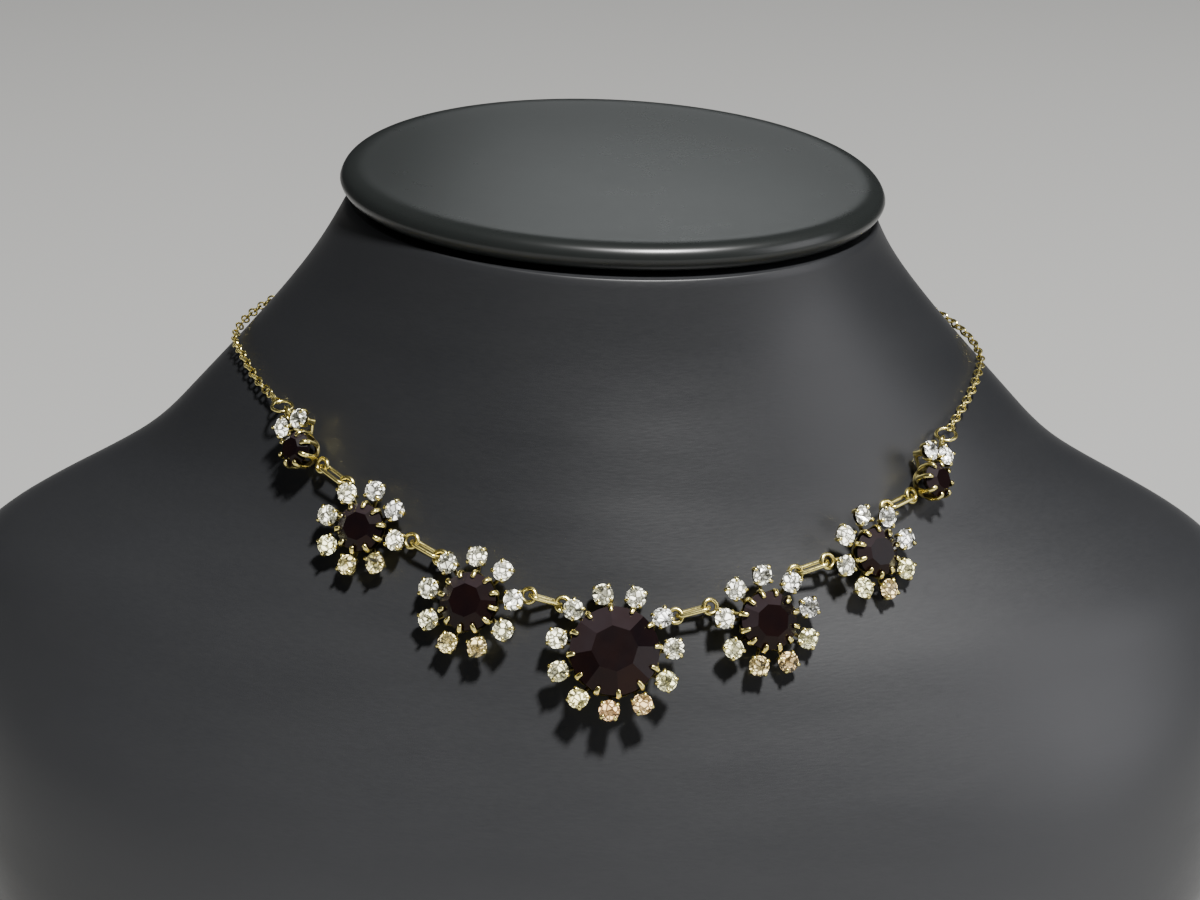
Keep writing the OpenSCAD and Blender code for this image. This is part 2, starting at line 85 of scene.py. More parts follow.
def polar(radius: float, angle: float, z: float = 0.0) -> np.ndarray:
    """The point at that radius, angle and height."""
    a = math.radians(angle)
    return np.array([radius * math.cos(a), radius * math.sin(a), z])


def circle(radius: float, count: int, z: float = 0.0, first: float = 0.0) -> np.ndarray:
    """Points round a circle about the Z axis.

    Args:
        radius: The circle's radius.
        count: How many points.
        z: Their height.
        first: The angle of the first one.

    Returns:
        The points, one a row.
    """
    return np.array([polar(radius, first + 360 * i / count, z) for i in range(count)])


def smooth_curve(stations: Sequence[np.ndarray], v: float) -> np.ndarray:
    """A point on the smooth curve through the stations.

    Args:
        stations: The points that the curve passes through.
        v: How far along, from 0 to the last station's number.

    Returns:
        The point.
    """
    last = len(stations) - 1
    i = min(int(max(v, 0.0)), last - 1)
    u = v - i
    b = stations[i]
    c = stations[i + 1]
    a = stations[i - 1] if i > 0 else 2 * b - c
    d = stations[i + 2] if i + 2 <= last else 2 * c - b
    return b + u / 2 * (c - a + u * (2 * a - 5 * b + 4 * c - d + u * (3 * (b - c) + d - a)))


@dataclass(frozen=True)
class Frame:
    """A place with three directions at right angles, the last one outward."""

    origin: np.ndarray
    x: np.ndarray
    y: np.ndarray
    z: np.ndarray

    @staticmethod
    def facing(origin: np.ndarray, turn: float, nod: float) -> "Frame":
        """A frame whose face is turned to the side and up from the front.

        Args:
            origin: Where it is.
            turn: Angle to the side.
            nod: Angle upward.

        Returns:
            The frame.
        """
        t = math.radians(turn)
        n = math.radians(nod)
        out = np.array([math.sin(t) * math.cos(n), -math.cos(t) * math.cos(n), math.sin(n)])
        across = np.array([math.cos(t), math.sin(t), 0.0])
        return Frame(origin, across, np.cross(out, across), out)

    @staticmethod
    def along(origin: np.ndarray, x: np.ndarray, n: np.ndarray) -> "Frame":
        """A frame that runs along x, with its outward direction at right angles to x and n.

        Args:
            origin: Where it is.
            x: Its first direction.
            n: A direction at right angles to the outward one.

        Returns:
            The frame.
        """
        z = unit(np.cross(x, n))
        return Frame(origin, x, np.cross(z, x), z)

    def put(self, points: np.ndarray) -> np.ndarray:
        """Points of this frame, in the model's frame."""
        return self.origin + np.asarray(points) @ np.array([self.x, self.y, self.z])

    def at(self, offset: np.ndarray) -> "Frame":
        """The same directions at another place, given in this frame."""
        return Frame(self.put(offset), self.x, self.y, self.z)

    def turned(self, angle: float) -> "Frame":
        """The frame turned about its outward direction."""
        c, s, _ = polar(1.0, angle)
        return Frame(self.origin, c * self.x + s * self.y, c * self.y - s * self.x, self.z)

    def rolled(self, angle: float) -> "Frame":
        """The frame turned about its first direction."""
        c, s, _ = polar(1.0, angle)
        return Frame(self.origin, self.x, c * self.y + s * self.z, c * self.z - s * self.y)

    def upright(self) -> "Frame":
        """The frame stood on edge, so that what lay flat in it now stands along its first direction."""
        return Frame(self.origin, self.x, self.z, -self.y)

    def matrix(self) -> Matrix:
        """The frame as a matrix for an object."""
        turn = Matrix(np.column_stack([self.x, self.y, self.z]).tolist())
        return Matrix.Translation(self.origin.tolist()) @ turn.to_4x4()


WORLD = Frame(ORIGIN, X_AXIS, np.array([0.0, 1.0, 0.0]), np.array([0.0, 0.0, 1.0]))


# Meshes


class Shape:
    """A mesh in the making: points, faces, and each face's finish, age and shade; the shade is painted
    light, and on metal the age is tarnish and painted shade.
    """

    # A flared wall: points for each claw, steps up it, how sharply it dips between claws, how much
    # and how suddenly its lip thins, and how far its inside stands above its outside at the foot
    CLAW_POINTS = 16
    WALL_STEPS = 8
    DIP_POWER = 0.7
    LIP_THINNING = 0.5
    LIP_POWER = 4
    FOOT_RISE = 0.3
    # Angles of the rings that round off a wire's end, a claw's steps between two of its stations,
    # and the share of its width that a claw has at its ends
    END_ANGLES = (30, 58, 82)
    CLAW_STEPS = 3
    CLAW_END = 0.8

    def __init__(self) -> None:
        """Starts empty, with faces to come that are new."""
        self.points: list[np.ndarray] = []
        self.faces: list[tuple[int, ...]] = []
        self.finish: list[int] = []
        self.ages: list[float] = []
        self.shades: list[float] = []
        self.age = 0.0

    def add(self, points: np.ndarray, faces: Sequence[Sequence[int]], place: Frame = WORLD,
            finish: Sequence[int] | None = None, shades: Sequence[float] | None = None) -> None:
        """Adds points and the faces between them, all of the shape's present age.

        Args:
            points: The points, in the frame of place.
            faces: Lists of point numbers.
            place: The frame that they are in.
            finish: Number of each face's finish, or 0 for all.
            shades: How light each face is, from 0 to 1, or halfway for all.
        """
        first = len(self.points)
        self.points.extend(place.put(points))
        self.faces.extend(tuple(first + i for i in face) for face in faces)
        self.finish.extend(finish or [0] * len(faces))
        self.shades.extend(shades or [0.5] * len(faces))
        self.ages.extend([self.age] * len(faces))

    def loft(self, rows: Sequence[np.ndarray], place: Frame = WORLD, closed: bool = False,
             lids: bool = False) -> None:
        """Adds the skin over rows of points, each row a closed ring.

        Args:
            rows: The rings, all of one length.
            place: The frame that they are in.
            closed: Whether the last ring is joined to the first.
            lids: Whether the first and last rings are closed by a fan about their middles.
        """
        n = len(rows[0])
        count = len(rows)
        points = list(np.concatenate(rows))
        faces = []
        for j in range(count if closed else count - 1):
            low = j * n
            high = (j + 1) % count * n
            for i in range(n):
                k = (i + 1) % n
                faces.append((low + i, low + k, high + k, high + i))
        if lids:
            for row, base in ((rows[0], 0), (rows[-1], (count - 1) * n)):
                middle = len(points)
                points.append(np.mean(row, axis=0))
                faces.extend((base + i, base + (i + 1) % n, middle) for i in range(n))
        self.add(np.array(points), faces, place)

    def lathe(self, outline: Sequence[tuple[float, float]], count: int, place: Frame = WORLD) -> None:
        """Adds a closed outline turned about the Z axis.

        Args:
            outline: Radius and height of each point of the outline.
            count: How many points round the turn.
            place: The frame that it is in.
        """
        self.loft([circle(radius, count, z) for radius, z in outline], place, closed=True)

    def crown(self, side: Sequence[tuple[float, float]], thick: float, claws: int, first: float,
              dip: float, place: Frame) -> None:
        """Adds a flared wall whose top edge dips between its claws.

        Args:
            side: Radius and height of the wall's outside, from its foot to the top of a claw.
            thick: The wall's thickness.
            claws: How many claws stand on it.
            first: The angle of the first claw.
            dip: The share of the wall that is cut away halfway between two claws.
            place: The frame that it is in.
        """
        stations = [np.array([radius, 0.0, z]) for radius, z in side]
        last = len(stations) - 1
        count = self.CLAW_POINTS * claws
        tops = []
        for i in range(count):
            wave = 0.5 - 0.5 * math.cos(math.radians(claws * (360 * i / count - first)))
            tops.append(1 - dip * wave**self.DIP_POWER)
        outside = []
        inside = []
        for j in range(self.WALL_STEPS + 1):
            up = j / self.WALL_STEPS
            ease = thick * (1 - self.LIP_THINNING * up**self.LIP_POWER)
            rise = self.FOOT_RISE * ease * (1 - up)
            outer = []
            inner = []
            for i, top in enumerate(tops):
                radius, _, z = smooth_curve(stations, last * top * j / self.WALL_STEPS)
                outer.append(polar(radius, 360 * i / count, z))
                inner.append(polar(radius - ease, 360 * i / count, z + rise))
            outside.append(np.array(outer))
            inside.append(np.array(inner))
        self.loft(outside + inside[::-1], place, closed=True)

    def wire(self, path: np.ndarray, normal: np.ndarray, half: float | np.ndarray,
             place: Frame = WORLD, closed: bool = False, sides: int = 12) -> None:
        """Adds a wire along a flat path, with round ends if it is open.

        Args:
            path: The points of its middle line.
            normal: The direction at right angles to the path's plane.
            half: Its radius, or for each point half its thickness in the plane and across it.
            place: The frame that it is in.
            closed: Whether the path is a loop.
            sides: How many sides the wire has.
        """
        path = np.asarray(path, float)
        halves = np.broadcast_to(np.asarray(half, float), (len(path), 2))
        if closed:
            ahead = np.roll(path, -1, axis=0) - np.roll(path, 1, axis=0)
        else:
            ahead = np.gradient(path, axis=0)
        ahead /= np.linalg.norm(ahead, axis=1)[:, None]
        side = np.cross(normal, ahead)
        side /= np.linalg.norm(side, axis=1)[:, None]
        turn = np.radians(np.arange(sides) * 360 / sides)
        rows = []
        for p, s, h in zip(path, side, halves):
            rows.append(p + np.outer(np.cos(turn) * h[0], s) + np.outer(np.sin(turn) * h[1], normal))
        if not closed:
            rows = (self._round_end(rows[0], path[0], -ahead[0], halves[0])[::-1]
                    + rows + self._round_end(rows[-1], path[-1], ahead[-1], halves[-1]))
        self.loft(rows, place, closed=closed, lids=not closed)

    def _round_end(self, row: np.ndarray, middle: np.ndarray, out: np.ndarray,
                   half: np.ndarray) -> list[np.ndarray]:
        """Rings that round off a wire's end.

        Args:
            row: The wire's last ring.
            middle: The middle of that ring.
            out: The direction in which the wire ends.
            half: Half its thickness each way.

        Returns:
            The rings, from the wire outward.
        """
        rings = []
        for angle in self.END_ANGLES:
            a = math.radians(angle)
            rings.append(middle + (row - middle) * math.cos(a) + out * min(half) * math.sin(a))
        return rings

    def ring(self, middle_r: float, wire_r: float, place: Frame, count: int = 40) -> None:
        """Adds a closed ring of round wire, flat in its frame."""
        self.wire(circle(middle_r, count), WORLD.z, wire_r, place, closed=True, sides=14)

    def rod(self, start: np.ndarray, end: np.ndarray, radius: float, place: Frame) -> None:
        """Adds a straight round rod with round ends, anything but upright in its frame."""
        self.wire(np.array([start, end]), unit(np.cross(end - start, WORLD.z)), radius, place)

    def claw(self, spot: Frame, path: Sequence[tuple[float, float]], width: float, depth: float) -> None:
        """Adds a claw that leans in over a stone.

        Args:
            spot: The frame whose first direction points to the claw.
            path: Radius and height of the claw's middle line, from its root.
            width: Half the claw's width at its middle.
            depth: Half the claw's thickness.
        """
        stations = [np.array([r, 0.0, z]) for r, z in path]
        last = len(stations) - 1
        steps = self.CLAW_STEPS * last
        line = np.array([smooth_curve(stations, last * i / steps) for i in range(steps + 1)])
        swell = np.sin(math.pi * np.linspace(0, 1, steps + 1))
        widths = width * (self.CLAW_END + (1 - self.CLAW_END) * swell)
        halves = np.stack([np.full(steps + 1, depth), widths], axis=1)
        self.wire(line, WORLD.y, halves, spot, sides=10)


# Points closer than this become one
MERGE = 1e-7


def add_object(name: str, data: bpy.types.ID) -> bpy.types.Object:
    """Adds an object to the scene.

    Args:
        name: Its name.
        data: Its mesh, lamp or camera.

    Returns:
        The object.
    """
    thing = bpy.data.objects.new(name, data)
    bpy.context.scene.collection.objects.link(thing)
    return thing


def make_piece(name: str, shape: Shape, finishes: Sequence[bpy.types.Material], slot: Slot, node: str,
               crease: float = 40.0) -> None:
    """Makes a shape into a piece that stands for a node of the construction model.

    Args:
        name: The piece's name.
        shape: Its mesh.
        finishes: Its materials, by the shape's finish numbers.
        slot: The record's material slot; not used.
        node: The node that it replaces.
        crease: Edges sharper than this stay sharp, and 0 leaves every facet flat.
    """
    mesh = bpy.data.meshes.new(name)
    mesh.from_pydata([tuple(p) for p in shape.points], [], shape.faces)
    mesh.polygons.foreach_set("material_index", shape.finish)
    for label, values in (("age", shape.ages), ("shade", shape.shades)):
        attribute = mesh.attributes.new(label, "FLOAT", "FACE")
        attribute.data.foreach_set("value", np.array(values, np.float32))
    solid = bmesh.new()
    solid.from_mesh(mesh)
    bmesh.ops.remove_doubles(solid, verts=solid.verts, dist=MERGE)
    bmesh.ops.dissolve_degenerate(solid, edges=solid.edges, dist=MERGE)
    bmesh.ops.recalc_face_normals(solid, faces=solid.faces)
    solid.to_mesh(mesh)
    solid.free()
    for finish in finishes:
        mesh.materials.append(finish)
    if crease:
        mesh.shade_smooth()
        mesh.set_sharp_from_angle(angle=math.radians(crease))
    piece = add_object(name, mesh)
    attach(piece, BODY)
    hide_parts(node)
    triangles = sum(len(p.vertices) - 2 for p in mesh.polygons)
    LOG.info("%s: %d triangles, for %s", name, triangles, node)


# Shader maths


@dataclass(frozen=True)
class Grain:
    """A noise texture: its features a metre, and how many finer layers it has."""

    scale: float
    detail: float


class Wire:
    """A value or colour in a material, with the arithmetic of numbers."""

    def __init__(self, bench: "Bench", socket: bpy.types.NodeSocket | None) -> None:
        """Wraps a node's output socket, if it has one."""
        self.bench = bench
        self.socket = socket

    def __add__(self, other: "Wire | float") -> "Wire":
        """The sum."""
        return self.bench.maths("ADD", self, other)

    def __mul__(self, other: "Wire | float") -> "Wire":
        """The product."""
        return self.bench.maths("MULTIPLY", self, other)

    def __sub__(self, other: "Wire | float") -> "Wire":
        """The difference."""
        return self.bench.maths("SUBTRACT", self, other)

    def __rsub__(self, other: float) -> "Wire":
        """The difference from a number."""
        return self.bench.maths("SUBTRACT", other, self)

    __radd__ = __add__
    __rmul__ = __mul__

    def held(self, low: float = 0.0, high: float = 1.0) -> "Wire":
        """The value, kept between two limits."""
        return self.bench.add("ShaderNodeClamp", {}, {"Value": self, "Min": low, "Max": high})


class Bench:
    """The nodes of one material."""

    def __init__(self, name: str) -> None:
        """Starts a material with no nodes.

        Args:
            name: The material's name.
        """
        self.material = bpy.data.materials.new(name)
        self.material.use_nodes = True
        self.tree = self.material.node_tree
        self.tree.nodes.clear()

    def add(self, kind: str, settings: dict | None = None, inputs: dict | None = None,
            out: str | None = None) -> Wire:
        """Adds a node.

        Args:
            kind: The node's type.
            settings: Its settings, with a ramp's stops under "stops".
            inputs: Values or wires for its sockets, by name or identifier.
            out: Name or identifier of the output wanted, or the first one.

        Returns:
            The output, wrapped.
        """
        node = self.tree.nodes.new(kind)
        for key, value in (settings or {}).items():
            if key == "stops":
                while len(node.color_ramp.elements) < len(value):
                    node.color_ramp.elements.new(0.5)
                for element, (position, colour) in zip(node.color_ramp.elements, value):
                    element.position = position
                    element.color = colour
            else:
                setattr(node, key, value)
        for key, value in (inputs or {}).items():
            socket = self._socket(node.inputs, key)
            if isinstance(value, Wire):
                self.tree.links.new(value.socket, socket)
            else:
                socket.default_value = value
        return Wire(self, self._socket(node.outputs, out) if out else next(iter(node.outputs), None))

    @staticmethod
    def _socket(sockets: Sequence[bpy.types.NodeSocket], key: str) -> bpy.types.NodeSocket:
        """The socket with that identifier, or else with that name."""
        return next((s for s in sockets if s.identifier == key), None) or sockets[key]

    def maths(self, operation: str, a: Wire | float, b: Wire | float) -> Wire:
        """A Math node on two numbers."""
        return self.add("ShaderNodeMath", {"operation": operation}, {"Value": a, "Value_001": b})

    def mix(self, share: Wire, a: Wire | Colour, b: Wire | Colour) -> Wire:
        """The colour that turns from a to b as share goes from 0 to 1."""
        inputs = {"Factor_Float": share, "A_Color": a, "B_Color": b}
        return self.add("ShaderNodeMix", {"data_type": "RGBA"}, inputs, "Result_Color")

    def place(self) -> Wire:
        """The place on the model, in metres."""
        return self.add("ShaderNodeTexCoord", out="Object")

    def ramp(self, share: Wire, *stops: tuple[float, Colour]) -> Wire:
        """The colour that a share picks from a ramp with those stops."""
        return self.add("ShaderNodeValToRGB", {"stops": stops}, {"Fac": share}, "Color")

    def noise(self, grain: Grain, place: Wire | None = None) -> Wire:
        """Smooth noise from 0 to 1."""
        inputs = {"Vector": place or self.place(), "Scale": grain.scale, "Detail": grain.detail}
        return self.add("ShaderNodeTexNoise", {}, inputs, "Fac")

    def uneven(self, least: float, spread: float, grain: Grain) -> Wire:
        """A number that noise raises by up to the spread."""
        return (least + spread * self.noise(grain)).held()

    def cells(self, scale: float, wanted: str, feature: str = "F1") -> Wire:
        """Irregular cells, with that many a metre.

        Args:
            scale: How many cells there are to a metre.
            wanted: The output: "Color", a random one for each cell, or "Distance".
            feature: What the distance is measured to.

        Returns:
            The output.
        """
        inputs = {"Vector": self.place(), "Scale": scale}
        return self.add("ShaderNodeTexVoronoi", {"feature": feature}, inputs, wanted)

    def cracks(self, scale: float, slope: float) -> Wire:
        """A number that is 1 in each cell and falls to 0 at its edges, by the slope."""
        return (self.cells(scale, "Distance", "DISTANCE_TO_EDGE") * slope).held()

    def of_face(self, label: str) -> Wire:
        """A number that each face of the mesh has."""
        return self.add("ShaderNodeAttribute", {"attribute_name": label}, {}, "Fac")

    def hollows(self, reach: float) -> Wire:
        """How deep in a hollow a place is, from 0 in the open to 1."""
        lit = self.add("ShaderNodeAmbientOcclusion", {"samples": 8}, {"Distance": reach}, "AO")
        return 1 - lit

    def bump(self, height: Wire, depth: float) -> Wire:
        """The normal of a surface that rises by depth where height is 1."""
        return self.add("ShaderNodeBump", {}, {"Height": height, "Distance": depth})

    def surface(self, inputs: dict) -> bpy.types.Material:
        """Closes the material with one Principled shader.

        Args:
            inputs: Values or wires for the shader's sockets.

        Returns:
            The material.
        """
        shader = self.add("ShaderNodeBsdfPrincipled", {}, inputs)
        self.add("ShaderNodeOutputMaterial", {}, {"Surface": shader})
        return self.material


# Finishes


@dataclass(frozen=True)
class GoldPlate:
    """Aged pale gold plate, dark in the hollows and behind the stones: tarnished there, and darkened
    further by painted shade.
    """

    bright: Colour = (0.95, 0.76, 0.19, 1)
    pale: Colour = (0.98, 0.90, 0.42, 1)
    tarnish_and_shade: Colour = (0.06, 0.045, 0.015, 1)
    wear: Grain = Grain(420, 3)
    spots: Grain = Grain(900, 4)
    scratches: Grain = Grain(2600, 4)
    ripple: Grain = Grain(1500, 3)
    hollow_reach: float = 0.002
    hollow_tarnish_and_shade: float = 1.6
    spot_dirt: float = 0.35
    age_tarnish_and_shade: float = 0.55
    cleaned: float = 0.42
    roughness: float = 0.16
    scratching: float = 0.14
    dulling: float = 0.25
    relief: float = 0.00004

    def material(self) -> bpy.types.Material:
        """Makes the material.

        Returns:
            The material.
        """
        bench = Bench("gold_plate")
        worn = bench.noise(self.wear)
        # Tarnish and painted shade: ambient occlusion darkens the hollows and the faces' age darkens the
        # metal behind the stones, while the noise spots are real soiling
        dirt_and_shade = bench.hollows(self.hollow_reach) * self.hollow_tarnish_and_shade
        dirt_and_shade = dirt_and_shade + bench.noise(self.spots) * self.spot_dirt - self.cleaned
        dirt_and_shade = (dirt_and_shade + self.age_tarnish_and_shade * bench.of_face("age")).held()
        colour = bench.mix(dirt_and_shade, bench.mix(worn, self.bright, self.pale), self.tarnish_and_shade)
        scratches = bench.noise(self.scratches)
        return bench.surface({
            "Base Color": colour,
            "Metallic": 1.0,
            "Roughness": (self.roughness + self.scratching * scratches + self.dulling * dirt_and_shade).held(),
            "Normal": bench.bump(bench.noise(self.ripple), self.relief),
        })


@dataclass(frozen=True)
class RedGlass:
    """Deep red glass, nearly black in the thick of the stone, with a painted brown glow low down where
    light would leave it and a painted sheen on the facets that face the light.
    """

    deep: Colour = (0.0035, 0.0022, 0.003, 1)
    painted_glow: Colour = (0.013, 0.0048, 0.0032, 1)
    sheen: Colour = (0.023, 0.017, 0.019, 1)
    veils: Grain = Grain(260, 2)
    smears: Grain = Grain(500, 2)
    veiling: float = 0.3
    roughness: float = 0.18
    smearing: float = 0.06
    clearness: float = 0.08
    index: float = 1.5
    gloss: float = 0.12

    def material(self) -> bpy.types.Material:
        """Makes the material.

        Returns:
            The material.
        """
        bench = Bench("red_glass")
        # Painted light: the faces' shade picks the painted glow and the painted sheen from the ramp
        share = (bench.of_face("shade") + self.veiling * (bench.noise(self.veils) - 0.5)).held()
        return bench.surface({
            "Base Color": bench.ramp(share, (0.0, self.deep), (0.5, self.painted_glow), (1.0, self.sheen)),
            "Transmission Weight": self.clearness,
            "IOR": self.index,
            "Specular IOR Level": self.gloss,
            "Roughness": bench.uneven(self.roughness, self.smearing, self.smears),
        })


@dataclass(frozen=True)
class RedFoil:
    """The dark foil behind a red stone."""

    colour: Colour = (0.11, 0.05, 0.042, 1)
    spotted: Colour = (0.055, 0.028, 0.024, 1)
    spots: Grain = Grain(600, 3)
    creases: Grain = Grain(900, 2)
    roughness: float = 0.25
    creasing: float = 0.2

    def material(self) -> bpy.types.Material:
        """Makes the material.

        Returns:
            The material.
        """
        bench = Bench("red_foil")
        return bench.surface({
            "Base Color": bench.mix(bench.noise(self.spots), self.colour, self.spotted),
            "Metallic": 1.0,
            "Roughness": bench.uneven(self.roughness, self.creasing, self.creases),
        })


@dataclass(frozen=True)
class ClearGlass:
    """Clear rhinestone glass: some facets carry a painted glint, which also glows, and the foil shows
    through the others, which are painted dark.
    """

    glint: Colour = (0.99, 0.99, 0.98, 1)
    yellowed: Colour = (0.92, 0.88, 0.45, 1)
    painted_dark_facet: Colour = (0.022, 0.02, 0.015, 1)
    aged: Colour = (0.78, 0.44, 0.2, 1)
    unlit: Colour = (0.0, 0.0, 0.0, 1)
    yellowed_at: float = 0.45
    patches: float = 1000.0
    crack_slope: float = 6.5
    facet_light: float = 1.7
    patch_light: float = 1.9
    shadow: float = 1.15
    haze: Grain = Grain(1500, 3)
    roughness: float = 0.14
    hazing: float = 0.16
    cover: float = 0.2
    glint_cover: float = 0.7
    index: float = 1.6
    gloss: float = 0.8
    sparkle: float = 3.8

    def material(self) -> bpy.types.Material:
        """Makes the material.

        Returns:
            The material.
        """
        bench = Bench("clear_glass")
        # Painted glints: the faces' shade and random patches with dark edges pick the facets that are
        # painted white or tinted, and the rest are painted dark
        light = self.facet_light * bench.of_face("shade")
        light = light + self.patch_light * bench.cells(self.patches, "Color")
        spark = (light - self.shadow).held() * bench.cracks(self.patches, self.crack_slope)
        glint = bench.ramp(bench.of_face("age"), (0.0, self.glint), (self.yellowed_at, self.yellowed),
                           (1.0, self.aged))
        return bench.surface({
            "Base Color": bench.mix(spark, self.painted_dark_facet, glint),
            "IOR": self.index,
            "Specular IOR Level": self.gloss,
            "Roughness": bench.uneven(self.roughness, self.hazing, self.haze),
            "Alpha": (self.cover + self.glint_cover * spark).held(),
            # Painted glow: the glinting facets give off light although they are no lamp
            "Emission Color": bench.mix((spark * 2.0 - 1.0).held(), self.unlit, glint),
            "Emission Strength": self.sparkle,
        })


@dataclass(frozen=True)
class SilverFoil:
    """The mirror foil behind a clear stone, silvery when new and champagne where it has aged, with its
    facets painted light or dark at random as painted reflections.
    """

    new: Colour = (0.96, 0.97, 0.95, 1)
    yellowed: Colour = (0.84, 0.80, 0.40, 1)
    champagne: Colour = (0.74, 0.45, 0.24, 1)
    dark: Colour = (0.03, 0.03, 0.025, 1)
    yellowed_at: float = 0.55
    mottle: Grain = Grain(900, 3)
    mottling: float = 0.3
    creases: float = 1500.0
    crease_slope: float = 5.0
    contrast: float = 2.2
    shadow: float = 0.2
    metal: float = 0.4
    smears: Grain = Grain(1200, 2)
    roughness: float = 0.12
    smearing: float = 0.12

    def material(self) -> bpy.types.Material:
        """Makes the material.

        Returns:
            The material.
        """
        bench = Bench("silver_foil")
        share = (bench.of_face("age") + self.mottling * (bench.noise(self.mottle) - 0.5)).held()
        colour = bench.ramp(share, (0.0, self.new), (self.yellowed_at, self.yellowed),
                            (1.0, self.champagne))
        # Painted reflections: each facet's shade makes it lighter or darker, cut by creases
        light = (bench.of_face("shade") * self.contrast - self.shadow).held()
        light = light * bench.cracks(self.creases, self.crease_slope)
        return bench.surface({
            "Base Color": bench.mix(light, self.dark, colour),
            "Metallic": self.metal,
            "Roughness": bench.uneven(self.roughness, self.smearing, self.smears),
        })


@dataclass(frozen=True)
class SatinPaint:
    """Satin grey, as on the bust and its cap, clouded, and painted lighter low down as painted light."""

    name: str
    colour: Colour
    faded_and_lit: Colour
    roughness: float
    gloss: float
    clouding: float
    low_light: float
    relief: float
    scuffing: float
    grain: Grain
    clouds: Grain = Grain(14, 4)
    scuffs: Grain = Grain(90, 5)
    stretch: tuple[float, float, float] = (0.35, 0.35, 1.6)
    cloud_share: float = 0.7
    scuff_dulling: float = 0.12
    grain_dulling: float = 0.08
    scuff_relief: float = 0.6
    low_light_from: float = 0.11
    low_light_to: float = 0.02

    def material(self) -> bpy.types.Material:
        """Makes the material.

        Returns:
            The material.
        """
        bench = Bench(self.name)
        place = bench.place()
        cloud = bench.noise(self.clouds, place)
        streaks = bench.add("ShaderNodeMapping", {}, {"Vector": place, "Scale": self.stretch})
        fine = bench.noise(self.grain, streaks)
        scuffs = bench.noise(self.scuffs, streaks)
        height = bench.add("ShaderNodeSeparateXYZ", {}, {"Vector": place}, "Z")
        # Painted light: the colour turns lighter towards the bottom, as if more light fell there
        low = ((self.low_light_from - height) * (1 / (self.low_light_from - self.low_light_to))).held()
        clouded = cloud * self.cloud_share + fine * (1 - self.cloud_share)
        fading_and_light = (self.clouding * clouded + self.low_light * low).held()
        uneven = self.scuff_dulling * (scuffs - 0.5) + self.grain_dulling * (fine - 0.5)
        return bench.surface({
            "Base Color": bench.mix(fading_and_light, self.colour, self.faded_and_lit),
            "Roughness": (self.roughness + self.scuffing * uneven).held(),
            "Specular IOR Level": self.gloss,
            "Normal": bench.bump(fine + self.scuff_relief * scuffs, self.relief),
        })


BUST_PAINT = SatinPaint(
    name="bust_paint", colour=(0.0105, 0.0111, 0.0124, 1), faded_and_lit=(0.031, 0.0318, 0.034, 1),
    roughness=0.42, gloss=0.45, clouding=0.3, low_light=0.78, relief=0.000014, scuffing=1.0,
    grain=Grain(1600, 4))
CAP_PAINT = SatinPaint(
    name="cap_paint", colour=(0.0088, 0.0103, 0.0098, 1), faded_and_lit=(0.0118, 0.0133, 0.0128, 1),
    roughness=0.28, gloss=0.42, clouding=1.0, low_light=0.0, relief=0.000003, scuffing=0.35,
    grain=Grain(900, 4))


@dataclass(frozen=True)
class FloorPaint:
    """Plain pale floor."""

    colour: Colour = (0.36, 0.36, 0.35, 1)
    roughness: float = 0.85

    def material(self) -> bpy.types.Material:
        """The material."""
        return Bench("floor_paint").surface({"Base Color": self.colour, "Roughness": self.roughness})


# The bust and its cap


# Drop of the cap and the neck's top to the picture's right, for each metre of width, and their offset
CAP_ROLL = 0.028
CAP_SHIFT = 0.0012


@dataclass(frozen=True)
class Section:
    """A level section of the bust, as half width, reaches, nose and lean."""

    half_width: float
    front: float
    back: float
    nose: float
    lean: float

    def outline(self, phi: float, inset: float = 0.0, rolled: float = 0.0) -> np.ndarray:
        """A point of the section, at no height.

        Args:
            phi: Angle round the bust, with the front at -90.
            inset: How far inside the surface.
            rolled: The share of the cap's roll and offset that it has.

        Returns:
            The point, raised only by the section's lean and roll.
        """
        s = math.sin(math.radians(phi))
        c = math.cos(math.radians(phi))
        x = (self.half_width - inset) * c * (1 - self.nose * s * s)
        y = ((self.front if s < 0 else self.back) - inset) * s
        return np.array([x + rolled * CAP_SHIFT, y, self.lean * y - rolled * CAP_ROLL * x])


